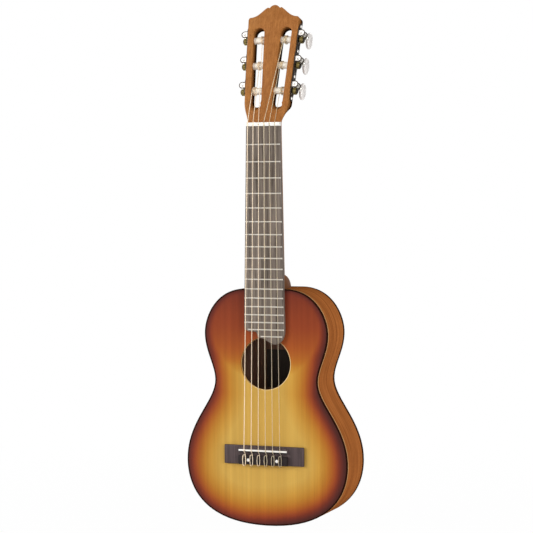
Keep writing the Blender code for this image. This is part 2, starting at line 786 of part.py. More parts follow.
def board_half(z):
    """Half width of the fingerboard at a height."""
    return NUT_HALF + (BOARD_JOINT_HALF - NUT_HALF) * z / BODY_TOP_Z


def make_neck():
    """A loft from the heel's face to the slanted end that carries the headstock."""
    joint_z = BODY_TOP_Z + SEAT
    heel_top = joint_z + HEEL_LENGTH
    handle_top = -NUT_THICKNESS * 2.0
    stations = [joint_z + HEEL_LENGTH * share for share in (0.0, 0.3, 0.5, 0.67, 0.8, 0.9, 0.97, 1.0)]
    stations += [heel_top + (handle_top - heel_top) * share for share in (0.1, 0.4, 0.7, 1.0)]
    rings = []
    for z in stations:
        share = z / BODY_TOP_Z
        depth = NECK_DEPTH_NUT + (NECK_DEPTH_BODY - NECK_DEPTH_NUT) * share
        heel = heel_swell(z, joint_z)
        depth += (BODY_DEPTH - HEEL_RECESS - depth) * heel
        side_power = HANDLE_SIDE_POWER + (HEEL_SIDE_POWER - HANDLE_SIDE_POWER) * heel
        section = neck_section(board_half(z), depth, side_power, HANDLE_BACK_POWER)
        rings.append([Vector((x, y, z)) for x, y in section])
    end = neck_section(NUT_HALF, HEAD_THICKNESS, HANDLE_SIDE_POWER, HANDLE_BACK_POWER)
    rings.append([head_point(x, -SEAT, depth) for x, depth in end])
    shape = bmesh.new()
    loops = [[shape.verts.new(point) for point in ring] for ring in rings]
    for lower, upper in zip(loops, loops[1:]):
        for i in range(len(lower)):
            j = (i + 1) % len(lower)
            shape.faces.new((lower[i], lower[j], upper[j], upper[i]))
    shape.faces.new(loops[0])
    shape.faces.new(loops[-1])
    mesh = bpy.data.meshes.new("neck")
    shape.to_mesh(mesh)
    shape.free()
    place("neck", rounded(tidy(mesh)), Matrix.Identity(4), NECK_WOOD)


def make_fingerboard():
    """A tapered board whose end steps down and rounds off over the sound hole."""
    shelf_z = fret_z(FRET_COUNT - 1) - SHELF_PAST_FRET
    lobe_z = fret_z(FRET_COUNT) - LOBE_PAST_FRET
    tip_z = fret_z(FRET_COUNT) - TIP_PAST_FRET
    corner_z = shelf_z + CORNER_PULL
    bass = -board_half(corner_z)
    corner = (bass, corner_z)
    shelf = (bass + CORNER_PULL, shelf_z)
    step = (STEP_X, shelf_z)
    lobe = (LOBE_X, lobe_z)
    tip = (TIP_X, tip_z)
    rise_z = fret_z(FRET_COUNT) + CORNER_PULL
    treble = (board_half(rise_z), rise_z)
    loop = [(NUT_HALF, 0.0), (-NUT_HALF, 0.0), corner]
    loop += bezier(corner, (corner[0], corner[1] - CORNER_PULL * 0.6),
                   (shelf[0] - CORNER_PULL * 0.4, shelf[1]), shelf, 4)
    loop.append(step)
    middle_z = (shelf_z + lobe_z) / 2.0
    loop += bezier(step, (step[0] + (lobe[0] - step[0]) * 0.55, step[1]),
                   (step[0] + (lobe[0] - step[0]) * 0.25, lobe[1]), lobe, 6)
    loop += bezier(lobe, (lobe[0] + (tip[0] - lobe[0]) * 0.33, lobe[1]),
                   (tip[0] - (tip[0] - lobe[0]) * 0.37, tip[1]), tip, 6)
    loop += bezier(tip, (tip[0] + (treble[0] - tip[0]) * 0.55, tip[1]),
                   (treble[0], tip[1] + (treble[1] - tip[1]) * 0.45), treble, 7)
    board = slab("fingerboard", [loop], BOARD_FACE_Y, BOARD_BACK_Y, ROSEWOOD)
    wires = guide("frets", join_meshes("frets", fret_wires()), Matrix.Identity(4))
    boolean(board, wires, "UNION")


def fret_wires():
    """Half-round wires set in the board; the last two are shorter on the bass side."""
    wires = []
    for number in range(1, FRET_COUNT + 1):
        z = fret_z(number)
        right = board_half(z) - FRET_END_GAP
        left = -right
        if number == FRET_COUNT - 1:
            left += CORNER_PULL * 0.6
        if number == FRET_COUNT:
            left = LOBE_X - FRET_WIDTH / 2.0
            right -= CORNER_PULL * 0.35
        crown = [(FRET_WIDTH / 2.0, -FRET_SEAT)]
        crown += [(FRET_WIDTH / 2.0 * math.cos(a), FRET_HEIGHT * math.sin(a))
                  for a in [math.pi * i / 4.0 for i in range(5)]]
        crown.append((-FRET_WIDTH / 2.0, -FRET_SEAT))
        wire = flat("fret", [crown], right - left)
        middle = Vector(((left + right) / 2.0, BOARD_FACE_Y, z))
        wires.append(moved(wire, frame(middle, Vector((1.0, 0.0, 0.0)), Vector((0.0, 0.0, 1.0)))))
    return wires


def string_x(number, spacing, shift):
    """Distance of a string from the middle; string 1 is the thinnest, on the treble side."""
    return -shift + spacing * (3.5 - number)


def make_nut():
    """A bar with a slot for each string."""
    top = NUT_HEIGHT
    floor = NUT_HEIGHT - NUT_SLOT_DEPTH
    loop = [(-NUT_HALF, SEAT)]
    loop.append((-NUT_HALF, top))
    for number in range(6, 0, -1):
        half = STRING_DIAMETERS[number - 1] / 2.0 + RUN
        x = string_x(number, NUT_SPACING, STRING_SHIFT)
        loop += [(x - half, top), (x - half, floor), (x + half, floor), (x + half, top)]
    loop += [(NUT_HALF, top), (NUT_HALF, SEAT)]
    thickness = NUT_THICKNESS - SEAT
    mesh = flat("nut", [loop], thickness)
    origin = Vector((0.0, 0.0, SEAT + thickness / 2.0))
    place("nut", mesh, frame(origin, Vector((0.0, 0.0, -1.0)), Vector((1.0, 0.0, 0.0))), BONE)


# Bridge, saddle and strings

def bridge_place(x, down, height):
    """A point on the bridge: across, down from the saddle's middle and out of the face."""
    return Vector((x, -height, SADDLE_Z - down))


def bridge_block(name, x_half, down_from, down_to, low, high):
    """A box on the bridge, in world coordinates."""
    a = bridge_place(-BRIDGE_SHIFT - x_half, down_to, high)
    b = bridge_place(-BRIDGE_SHIFT + x_half, down_from, low)
    return block(name, a, b)


def make_bridge():
    """Flat wings, a ridge for the saddle, a groove and the block that the strings are tied to."""
    wings = bridge_block("bridge", BRIDGE_HALF, -BRIDGE_FRONT, BRIDGE_TAIL, SEAT, WING_HEIGHT)
    bridge = place("bridge", wings, Matrix.Identity(4), BRIDGE_WOOD)
    soften(bridge)
    sunk = GROOVE_HEIGHT - 2.0 * SEAT
    ridge = bridge_block("bridge_ridge", RAISED_HALF, -RIDGE_FRONT, RIDGE_TAIL, sunk, RIDGE_HEIGHT)
    tie = bridge_block("bridge_tie", RAISED_HALF, TIE_FRONT, TIE_TAIL, sunk, TIE_HEIGHT)
    raised = guide("bridge_raised", join_meshes("bridge_raised", [ridge, tie]), Matrix.Identity(4))
    boolean(bridge, raised, "UNION")
    cuts = [bridge_block("saddle_slot", SADDLE_HALF + SEAT, -SADDLE_THICKNESS / 2.0 - SEAT,
                         SADDLE_THICKNESS / 2.0 + SEAT, SADDLE_SLOT_FLOOR, 2.0 * TIE_HEIGHT)]
    down = Vector((0.0, 0.0, -1.0))
    side = Vector((1.0, 0.0, 0.0))
    for number in range(1, 7):
        hole = rod("tie_hole", TIE_HOLE_RADIUS, 0.0, BRIDGE_TAIL, 8)
        x = string_x(number, SADDLE_SPACING, SADDLE_SHIFT)
        cuts.append(moved(hole, frame(bridge_place(x, TIE_FRONT - RUN, TIE_HOLE_HEIGHT), down, side)))
    for x, z in bolt_places():
        out = Vector((0.0, -1.0, 0.0))
        seat = TIE_HEIGHT - BOLT_BORE_DEPTH
        origin = Vector((x, -seat, z))
        wide = rod("bolt_head_hole", bore(BOLT_HEAD_RADIUS, 12), 0.0, TIE_HEIGHT, 12)
        thin = rod("bolt_hole", bore(BOLT_RADIUS, 8), -TIE_HEIGHT, TIE_HEIGHT / 4.0, 8)
        cuts += [moved(wide, frame(origin, out, side)), moved(thin, frame(origin, out, side))]
    cutters = [guide("bridge_cut", mesh, Matrix.Identity(4)) for mesh in cuts]
    for cutter in cutters:
        boolean(bridge, cutter, "DIFFERENCE")


def soften(piece):
    """Break the sharp edges of a box-shaped piece."""
    edge = piece.modifiers.new("Edges", "BEVEL")
    edge.width = BRIDGE_BEVEL
    edge.segments = 2
    edge.limit_method = "ANGLE"


def make_saddle():
    """A bone bar with a round top in the bridge's slot."""
    half = SADDLE_THICKNESS / 2.0
    loop = [(-half, SADDLE_SLOT_FLOOR + SEAT), (half, SADDLE_SLOT_FLOOR + SEAT)]
    loop += arc((0.0, SADDLE_HEIGHT - half), half, 0.0, 180.0, 6)
    mesh = flat("saddle", [loop], 2.0 * SADDLE_HALF)
    origin = Vector((-BRIDGE_SHIFT, 0.0, SADDLE_Z))
    place("saddle", mesh, frame(origin, Vector((1.0, 0.0, 0.0)), Vector((0.0, 0.0, 1.0))), BONE)


def make_bridge_bolts():
    """Two bolts with white caps hold the bridge; they end behind the bridge plate."""
    seat = TIE_HEIGHT - BOLT_BORE_DEPTH + SEAT
    end = inner_depths()[0] + BRIDGE_PLATE_THICKNESS + BOLT_END
    for name, (x, z) in zip(("bridge_bolt_left", "bridge_bolt_right"), bolt_places()):
        bolt = turned(name, [(0.0, TIE_HEIGHT), (BOLT_HEAD_RADIUS, TIE_HEIGHT), (BOLT_HEAD_RADIUS, seat),
                             (BOLT_RADIUS, seat), (BOLT_RADIUS, -end), (0.0, -end)], 10)
        place(name, bolt, frame(Vector((x, 0.0, z)), Vector((0.0, -1.0, 0.0)), Vector((1.0, 0.0, 0.0))), BONE)


def tangent_on_roller(centre, along, back, start, radius):
    """Where a string from the nut meets the front of its winding."""
    reach = start - centre
    u = reach.dot(along)
    n = reach.dot(back)
    square = u * u + n * n
    lean_part = radius * radius / square
    turn_part = radius * math.sqrt(square - radius * radius) / square
    first = (lean_part * u - turn_part * n, lean_part * n + turn_part * u)
    second = (lean_part * u + turn_part * n, lean_part * n - turn_part * u)
    return first if first[1] < second[1] else second


def tuner_of(number):
    """Side of the headstock and rise of the roller that a string runs to."""
    if number <= 3:
        return 1, ROLLER_RISES[number - 1]
    return -1, ROLLER_RISES[6 - number]


def string_ends(number):
    """The points where a string leaves the nut and meets its winding."""
    radius = STRING_DIAMETERS[number - 1] / 2.0
    side, rise = tuner_of(number)
    origin, out, along, back = tuner_frame(side, rise)
    nut_y = -(NUT_HEIGHT - NUT_SLOT_DEPTH + SEAT + radius)
    nut = Vector((string_x(number, NUT_SPACING, STRING_SHIFT), nut_y, NUT_THICKNESS + radius))
    target = ROLLER_TARGETS[number - 1]
    centre = origin + out * ((target - origin.x) / out.x)
    wound = (ROLLER_RADIUS + RUN + radius) / math.cos(math.pi / WINDING_POINTS)
    u, n = tangent_on_roller(centre, along, back, nut, wound)
    touch = centre + along * u + back * n
    return nut, touch, math.atan2(u, -n), centre, wound


def make_string(number):
    """From the winding over the nut and the saddle, through the tie block and round it."""
    diameter = STRING_DIAMETERS[number - 1]
    radius = diameter / 2.0
    nut, touch, angle, centre, wound = string_ends(number)
    run = (nut - touch).normalized()
    x = string_x(number, SADDLE_SPACING, SADDLE_SHIFT)
    over = SADDLE_HEIGHT + SEAT + radius
    top = TIE_HEIGHT + SEAT + radius + RUN
    front = TIE_FRONT
    tail = BRIDGE_TAIL
    mid = (front + tail) / 2.0
    bulge = LOOP_HALF + radius
    corner = 0.8 * radius + SEAT
    cross = over - (over - TIE_HOLE_HEIGHT) * 0.72 + diameter + 2.0 * RUN
    route = [touch + run * (diameter + SEAT), nut,
             bridge_place(x, SADDLE_THICKNESS / 2.0, over),
             bridge_place(x, front - TIE_LEAD, TIE_HOLE_HEIGHT),
             bridge_place(x, tail + radius, TIE_HOLE_HEIGHT),
             bridge_place(x - bulge * 0.4, tail + 2.2 * radius + RUN, TIE_HOLE_HEIGHT + 1.5 * radius),
             bridge_place(x - bulge * 0.6, tail + 2.0 * radius + RUN, TIE_HEIGHT - radius),
             bridge_place(x - bulge * 0.75, tail - radius, top),
             bridge_place(x - bulge, mid, top),
             bridge_place(x - bulge * 0.8, front + radius, top),
             bridge_place(x - bulge * 0.6, front - corner, TIE_HEIGHT + corner),
             bridge_place(x, front - 2.4 * radius - SEAT, cross),
             bridge_place(x + bulge * 0.6, front - corner, TIE_HEIGHT + corner),
             bridge_place(x + bulge * 0.8, front + radius, top),
             bridge_place(x + bulge, mid, top),
             bridge_place(x + bulge * 0.75, tail - radius, top)]
    finish = NYLON if number <= 3 else WOUND
    name = f"string_{number}"
    place(name, tube(name, route, radius, STRING_POINT_SIDES), Matrix.Identity(4), finish)


def winding_points(number):
    """The turns of a string on its roller, in one unbroken line."""
    diameter = STRING_DIAMETERS[number - 1]
    radius = diameter / 2.0
    side, rise = tuner_of(number)
    origin, out, along, back = tuner_frame(side, rise)
    nut, touch, angle, centre, wound = string_ends(number)
    across = out * side * WINDING_WAYS[number - 1]
    pitch = diameter + WINDING_GAP
    run = (nut - touch).normalized()
    points = [touch + run * diameter]
    count = round(WINDING_TURNS * WINDING_POINTS)
    for i in range(count + 1):
        share = i / WINDING_POINTS
        turn = angle + 2.0 * math.pi * share
        ring = along * math.sin(turn) - back * math.cos(turn)
        points.append(centre + ring * wound + across * pitch * share)
    turn = angle + 2.0 * math.pi * count / WINDING_POINTS
    last = along * math.cos(turn) + back * math.sin(turn)
    points.append(points[-1] + last * diameter)
    return points


def least_gap(points, diameter, skip):
    """Smallest free gap between stretches of a tube that are not neighbours."""
    best = 1.0
    for i, a in enumerate(points):
        for b in points[i + skip:]:
            best = min(best, (a - b).length)
    return best - diameter


def make_winding(number):
    diameter = STRING_DIAMETERS[number - 1]
    points = winding_points(number)
    gap = least_gap(points, diameter, WINDING_POINTS // 2)
    print(f"winding {number}: least gap to itself {gap * 1000.0:.2f} mm")
    mesh = tube(f"string_{number}_winding", points, diameter / 2.0, 1)
    finish = NYLON if number <= 3 else WOUND
    pivot_piece(f"string_{number}_winding", mesh, roller_pivot(number), finish)


# Tuning machines

def roller_pivot(number):
    """A point on the axis of a roller."""
    side, rise = tuner_of(number)
    return tuner_frame(side, rise)[0]


def pivot_piece(name, mesh, pivot, finish):
    """A mesh in world coordinates, with its origin moved to a point on its joint's axis."""
    moved(mesh, Matrix.Translation(-pivot))
    return place(name, mesh, Matrix.Translation(pivot), finish)


def roller_mesh():
    """A plastic sleeve on a steel spindle, with the screw head that holds the gear.

    Z points out and the origin is on the headstock's side.
    """
    inner = -(RAIL_WIDTH + SLOT_WIDTH + ROLLER_SEAT_DEPTH)
    base = gear_face() + SEAT
    top = base + SCREW_HEAD_HEIGHT
    head = 1.5 * SPINDLE_RADIUS
    return turned("tuner_roller", [
        (0.0, top), (head * 0.6, top), (head, base + SCREW_HEAD_HEIGHT * 0.3), (head, base),
        (SPINDLE_RADIUS, base), (SPINDLE_RADIUS, 0.0), (ROLLER_RADIUS, 0.0), (ROLLER_RADIUS, inner),
        (0.0, inner)], 12)


def gear_face():
    """How far out the outer face of the gear lies; the gear is centred under the worm."""
    return WORM_OUT + GEAR_THICKNESS / 2.0


def gear_mesh():
    """The toothed wheel, in the frame of its roller; the worm lies over a tooth."""
    root_radius = GEAR_TIP_RADIUS - TOOTH_HEIGHT
    root = TOOTH_ROOT / 2.0 / root_radius
    tip = TOOTH_TIP / 2.0 / GEAR_TIP_RADIUS
    rim = []
    for tooth in range(GEAR_TEETH):
        middle = 2.0 * math.pi * tooth / GEAR_TEETH
        for angle, radius in ((-root, root_radius), (-tip, GEAR_TIP_RADIUS), (tip, GEAR_TIP_RADIUS),
                              (root, root_radius)):
            rim.append((radius * math.cos(middle + angle), radius * math.sin(middle + angle)))
    wheel = flat("tuner_gear", [rim, circle((0.0, 0.0), bore(SPINDLE_RADIUS, 12), 12)], GEAR_THICKNESS)
    return moved(wheel, Matrix.Translation((0.0, 0.0, gear_face() - GEAR_THICKNESS / 2.0)))


def worm_mesh():
    """Thread and shaft; Z points back, X to the gear, the origin is in the middle of the thread."""
    turns = math.ceil(WORM_LENGTH / 2.0 / WORM_PITCH) + 1
    foot = WORM_RADIUS - TOOTH_HEIGHT
    middle = WORM_PITCH / 2.0
    profile = [(foot, WORM_PITCH), (foot, middle + THREAD_ROOT / 2.0),
               (WORM_RADIUS, middle + THREAD_CREST / 2.0),
               (WORM_RADIUS, middle - THREAD_CREST / 2.0), (foot, middle - THREAD_ROOT / 2.0), (foot, 0.0)]
    mesh = bpy.data.meshes.new("worm")
    mesh.from_pydata([(r, 0.0, z) for r, z in profile], [(i, i + 1) for i in range(len(profile) - 1)], [])
    shape = bpy.data.objects.new("worm", mesh)
    bpy.context.scene.collection.objects.link(shape)
    turn = shape.modifiers.new("Thread", "SCREW")
    turn.steps = WORM_STEPS
    turn.render_steps = WORM_STEPS
    turn.screw_offset = WORM_PITCH
    turn.iterations = 2 * turns - 1
    turn.use_merge_vertices = True
    turn.merge_threshold = WELD
    thread = frozen("worm", shape)
    bm = bmesh.new()
    bm.from_mesh(thread)
    bmesh.ops.translate(bm, vec=(0.0, 0.0, -turns * WORM_PITCH), verts=bm.verts)
    for sign in (-1.0, 1.0):
        everything = list(bm.verts) + list(bm.edges) + list(bm.faces)
        bmesh.ops.bisect_plane(bm, geom=everything, dist=WELD / 10.0,
                               plane_co=(0.0, 0.0, sign * WORM_LENGTH / 2.0), plane_no=(0.0, 0.0, sign),
                               clear_outer=True)
    rim = [edge for edge in bm.edges if edge.is_boundary]
    bmesh.ops.holes_fill(bm, edges=rim, sides=0)
    bmesh.ops.recalc_face_normals(bm, faces=bm.faces)
    bm.to_mesh(thread)
    bm.free()
    half = WORM_LENGTH / 2.0
    lug_end = half + RUN + LUG_THICKNESS
    collar = HEAD_MID + COLLAR_BACK
    button_front = HEAD_MID + BUTTON_BACK - BUTTON_LENGTH / 2.0
    shaft = turned("shaft", [
        (0.0, button_front + BUTTON_BORE_DEPTH - RUN), (SHAFT_RADIUS, button_front + BUTTON_BORE_DEPTH - RUN),
        (SHAFT_RADIUS, collar + COLLAR_LENGTH), (COLLAR_RADIUS, collar + COLLAR_LENGTH),
        (COLLAR_RADIUS, collar), (SHAFT_RADIUS, collar),
        (SHAFT_RADIUS, -lug_end - SHAFT_STUB), (0.0, -lug_end - SHAFT_STUB)], 8)
    whole = bpy.data.objects.new("tuner_worm", thread)
    bpy.context.scene.collection.objects.link(whole)
    core = guide("worm_shaft", shaft, Matrix.Identity(4))
    boolean(whole, core, "UNION")
    return rounded(frozen("tuner_worm", whole), 30.0)


def button_mesh():
    """An oval knob with a bore for its shaft; Z points back, X lies along the headstock."""
    bm = bmesh.new()
    bmesh.ops.create_uvsphere(bm, u_segments=12, v_segments=8, radius=1.0)
    for point in bm.verts:
        x, y, z = point.co
        flat_y = math.copysign(abs(y) ** 0.75, y)
        point.co = (x * BUTTON_WIDTH / 2.0, flat_y * BUTTON_THICKNESS / 2.0, z * BUTTON_LENGTH / 2.0)
    mesh = bpy.data.meshes.new("button")
    bm.to_mesh(mesh)
    bm.free()
    shape = bpy.data.objects.new("button", mesh)
    bpy.context.scene.collection.objects.link(shape)
    deepest = -BUTTON_LENGTH / 2.0 + BUTTON_BORE_DEPTH
    hole = rod("button_hole", bore(SHAFT_RADIUS, 8), -BUTTON_LENGTH, deepest, 8)
    boolean(shape, guide("button_hole", hole, Matrix.Identity(4)), "DIFFERENCE")
    return rounded(frozen("tuner_button", shape))


def make_machines():
    """Six rollers with gears, and six worms with buttons, each set sharing its meshes."""
    roller = roller_mesh()
    gear = gear_mesh()
    worm = worm_mesh()
    button = button_mesh()
    for number in range(1, 7):
        side, rise = tuner_of(number)
        origin, out, along, back = tuner_frame(side, rise)
        on_roller = frame(origin, out, along)
        place(f"tuner_roller_{number}", roller, on_roller, ROLLER_PLASTIC)
        place(f"tuner_gear_{number}", gear, on_roller, BRASS)
        axis = origin + along * WORM_AXIS_RISE + out * WORM_OUT
        place(f"tuner_worm_{number}", worm, frame(axis, back, -along), PLATE_METAL)
        middle = axis + back * (HEAD_MID + BUTTON_BACK)
        place(f"tuner_button_{number}", button, frame(middle, back, along), PEARL)


def plate_waist(rise):
    """Half width of the plate between its machines."""
    share = (rise - SCREW_RISES[0]) / (SCREW_RISES[-1] - SCREW_RISES[0])
    return PLATE_WAIST_HALF + PLATE_SWELL * math.sin(math.pi * share)


def lug_half():
    """Half width of a lug."""
    return SHAFT_RADIUS + RUN + LUG_WALL


def plate_outline():
    """A long plate, wide at each machine, narrower between and round at both ends."""
    low, high = SCREW_RISES[0], SCREW_RISES[-1]
    wide = PLATE_HALF_WIDTH
    tip = arc((0.0, 0.0), PLATE_END_WALL, 180.0, 90.0, 4)
    edge = [(low + u, v) for u, v in tip]
    for rise in ROLLER_RISES:
        start = rise - GEAR_TIP_RADIUS
        end = rise + WORM_AXIS_RISE + LUG_SHIFT + lug_half() + PLATE_THICKNESS
        edge += [(start, plate_waist(start)), (start + wide / 3.0, wide),
                 (end, wide), (end + wide / 3.0, plate_waist(end + wide / 3.0))]
    edge += [(high - u, v) for u, v in reversed(tip)]
    return edge + [(u, -v) for u, v in edge[-2:0:-1]]


def make_plates():
    """Two side plates with bent-up lugs for the worms, joined with their screws."""
    base_rise = ROLLER_RISES[1]
    half = WORM_LENGTH / 2.0 + RUN
    for name, side in (("tuner_plate_right", 1), ("tuner_plate_left", -1)):
        loops = [plate_outline()]
        loops += [circle((rise, 0.0), bore(SPINDLE_RADIUS, 12), 12) for rise in ROLLER_RISES]
        mesh = flat(name, loops, PLATE_THICKNESS)
        origin, out, along, back = tuner_frame(side, base_rise)
        base = origin - along * base_rise / math.cos(side_angle()) + out * (PLATE_OUT + PLATE_THICKNESS / 2.0)
        stretch = 1.0 / math.cos(side_angle())
        moved(mesh, Matrix.Diagonal((stretch, 1.0, 1.0, 1.0)))
        plate = place(name, mesh, frame(base, out, along), PLATE_METAL)
        added = []
        for rise in ROLLER_RISES:
            spot = tuner_frame(side, rise)[0] + along * WORM_AXIS_RISE
            for sign in (-1.0, 1.0):
                foot = PLATE_OUT + PLATE_THICKNESS / 2.0
                loop = [(LUG_SHIFT - lug_half(), foot), (LUG_SHIFT + lug_half(), foot)]
                loop += arc((LUG_SHIFT, WORM_OUT + LUG_LIFT), lug_half(), 0.0, 180.0, 8)
                hole = circle((0.0, WORM_OUT), bore(SHAFT_RADIUS, 8), 8)
                lug = flat("lug", [loop, hole], LUG_THICKNESS)
                centre = spot + back * sign * (half + LUG_THICKNESS / 2.0)
                added.append(moved(lug, frame(centre, along.cross(out), along)))
        for rise in SCREW_RISES:
            top = PLATE_FACE + SCREW_HEAD_HEIGHT
            mid = PLATE_OUT + PLATE_THICKNESS / 2.0
            screw = turned("screw", [
                (0.0, top), (SCREW_HEAD_RADIUS * 0.6, top), (SCREW_HEAD_RADIUS, top - SCREW_HEAD_HEIGHT * 0.6),
                (SCREW_HEAD_RADIUS, mid), (SCREW_RADIUS, mid), (SCREW_RADIUS, -SCREW_LENGTH),
                (0.0, -SCREW_LENGTH)], 8)
            spot = tuner_frame(side, rise)
            added.append(moved(screw, frame(spot[0], spot[1], spot[3])))
        union = guide(f"{name}_lugs", join_meshes(f"{name}_lugs", added), Matrix.Identity(4))
        boolean(plate, union, "UNION")


clear_scene()
PARTS = collection("guitalele")
CUTTERS = collection("cutters")

SPRUCE = material("spruce", (0.52, 0.26, 0.07), 0.30)
BODY_WOOD = material("body_wood", (0.30, 0.12, 0.05), 0.40)
INNER_WOOD = material("inner_wood", (0.48, 0.33, 0.19), 0.75)
NECK_WOOD = material("neck_wood", (0.45, 0.18, 0.05), 0.42)
ROSEWOOD = material("rosewood", (0.11, 0.08, 0.065), 0.55)
BRIDGE_WOOD = material("bridge_wood", (0.06, 0.04, 0.04), 0.50)
BINDING = material("binding", (0.02, 0.015, 0.015), 0.35)
BONE = material("bone", (0.85, 0.83, 0.77), 0.35)
PLATE_METAL = material("plate_metal", (0.62, 0.60, 0.56), 0.25, 1.0)
BRASS = material("brass", (0.60, 0.48, 0.18), 0.30, 1.0)
ROLLER_PLASTIC = material("roller_plastic", (0.85, 0.80, 0.70), 0.40)
PEARL = material("pearl", (0.80, 0.77, 0.72), 0.22)
NYLON = material("nylon", (0.80, 0.78, 0.72), 0.25)
WOUND = material("wound_string", (0.70, 0.55, 0.42), 0.35, 0.8)
PAPER = material("paper", (0.05, 0.045, 0.04), 0.85)

make_soundboard()
make_back()
make_sides()
make_bindings()
make_blocks()
make_braces()
make_bridge_plate()
make_label()
make_neck()
make_headstock()
make_fingerboard()
make_nut()
make_bridge()
make_saddle()
make_bridge_bolts()
make_plates()
make_machines()
for string_number in range(1, 7):
    make_string(string_number)
    make_winding(string_number)
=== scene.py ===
# %% [markdown]
# # A small six-string guitar, piece by piece
#
# This instrument is a guitalele: six nylon strings on a body the size of a large ukulele.
# The lesson opens the measured frame first, then sets the camera and the light, then makes the
# finishes, and last models each piece where the frame holds it.
# X runs to the viewer's right, -Y comes out of the soundboard, and Z runs up along the strings.
# The height zero is the edge of the nut, as on a maker's ruler.

import math
from contextlib import contextmanager

import bpy
from mathutils import Matrix, Vector
from mathutils.kdtree import KDTree


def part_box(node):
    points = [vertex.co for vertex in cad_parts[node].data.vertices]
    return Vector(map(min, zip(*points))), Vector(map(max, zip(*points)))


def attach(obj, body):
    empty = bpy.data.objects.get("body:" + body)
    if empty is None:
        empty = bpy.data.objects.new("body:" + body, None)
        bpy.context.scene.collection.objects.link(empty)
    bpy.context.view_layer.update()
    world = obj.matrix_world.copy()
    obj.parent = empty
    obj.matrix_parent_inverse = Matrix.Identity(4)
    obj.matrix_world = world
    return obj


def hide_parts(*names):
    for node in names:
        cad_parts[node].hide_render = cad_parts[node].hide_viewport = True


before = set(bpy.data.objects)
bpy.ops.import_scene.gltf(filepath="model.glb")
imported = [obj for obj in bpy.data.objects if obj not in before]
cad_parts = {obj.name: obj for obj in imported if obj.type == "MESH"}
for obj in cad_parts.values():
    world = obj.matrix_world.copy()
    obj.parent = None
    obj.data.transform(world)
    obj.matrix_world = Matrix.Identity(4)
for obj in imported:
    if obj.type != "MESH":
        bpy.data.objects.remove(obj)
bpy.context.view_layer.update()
MM = 0.001
INSTRUMENT = "instrument"

# %% [markdown]
# ## Camera
#
# The picture was taken from a little to the treble side and almost level, with a long lens.
# A long lens keeps the neck from tapering, so the camera stands two and a half metres away.
# The turn, the height and the lens were worked out from the frets, whose spacing is known.

# %% Camera
VIEW_TURN = math.radians(21.01)
VIEW_RISE = math.radians(2.51)
VIEW_ROLL = math.radians(-0.33)
VIEW_DISTANCE = 2.4946
VIEW_AIM = Vector((1.98 * MM, 0.0, -186.63 * MM))
PICTURE_PIXELS = 533
FOCAL_PIXELS = 1872.1

view_back = Vector((math.sin(VIEW_TURN) * math.cos(VIEW_RISE),
                    -math.cos(VIEW_TURN) * math.cos(VIEW_RISE), math.sin(VIEW_RISE)))
view_right = Vector((math.cos(VIEW_TURN), math.sin(VIEW_TURN), 0.0))
view_up = view_back.cross(view_right)
rolled_right = view_right * math.cos(VIEW_ROLL) + view_up * math.sin(VIEW_ROLL)
rolled_up = view_up * math.cos(VIEW_ROLL) - view_right * math.sin(VIEW_ROLL)

lens = bpy.data.cameras.new("camera")
lens.sensor_width = 36.0
lens.lens = FOCAL_PIXELS / PICTURE_PIXELS * lens.sensor_width
lens.clip_end = 50.0
camera = bpy.data.objects.new("camera", lens)
bpy.context.scene.collection.objects.link(camera)
camera.matrix_world = Matrix((rolled_right, rolled_up, view_back)).transposed().to_4x4()
camera.location = VIEW_AIM + view_back * VIEW_DISTANCE
bpy.context.scene.camera = camera
print(f"camera: lens {lens.lens:.1f} mm")

# %% [markdown]
# ## Tools for the bench
#
# Operators act on whatever is selected, so each step begins with a clean selection.
# Most pieces of an instrument are cut from flat wood: an outline is drawn, sawn and rounded over.
# One helper saws an outline with its holes out of a board, and another rounds the edges.

# %% Tools for the bench
WELD = 0.002 * MM


def deselect():
    """Leave edit mode and select nothing."""
    if bpy.context.object and bpy.context.object.mode != "OBJECT":
        bpy.ops.object.mode_set(mode="OBJECT")
    bpy.ops.object.select_all(action="DESELECT")


def only(piece):
    """Select one piece and make it active."""
    deselect()
    piece.select_set(True)
    bpy.context.view_layer.objects.active = piece


@contextmanager
def editing(piece):
    """Edit mode on one piece, with all of it selected."""
    only(piece)
    bpy.ops.object.mode_set(mode="EDIT")
    bpy.ops.mesh.select_all(action="SELECT")
    yield
    bpy.ops.object.mode_set(mode="OBJECT")


def named(name):
    """The piece just made, under its own name."""
    piece = bpy.context.object
    piece.name = name
    piece.data.name = name
    return piece


def fresh(name, add, **settings):
    """A new piece, added by one of Blender's operators."""
    deselect()
    add(**settings)
    return named(name)


def clean(piece):
    """Merge doubled points and turn every face outwards."""
    with editing(piece):
        bpy.ops.mesh.remove_doubles(threshold=WELD)
        bpy.ops.mesh.normals_make_consistent(inside=False)
    return piece


def put(piece, matrix):
    """Move a piece and bake its place into its mesh."""
    only(piece)
    piece.matrix_world = matrix
    bpy.ops.object.transform_apply(location=True, rotation=True, scale=True)
    return piece


def block(name, size, centre):
    """A square block of that size around a point."""
    piece = fresh(name, bpy.ops.mesh.primitive_cube_add, size=1.0)
    return put(piece, Matrix.Translation(centre) @ Matrix.Diagonal((*size, 1.0)))


def drawing(add, points_of_lines, closed):
    """A drawn curve with one straight-edged line for each list of points."""
    deselect()
    add()
    curve = bpy.context.object.data
    curve.splines.clear()
    for points in points_of_lines:
        line = curve.splines.new("POLY")
        line.points.add(len(points) - 1)
        for point, place in zip(line.points, points):
            point.co = (*place, 1.0)
        line.use_cyclic_u = closed
    return curve


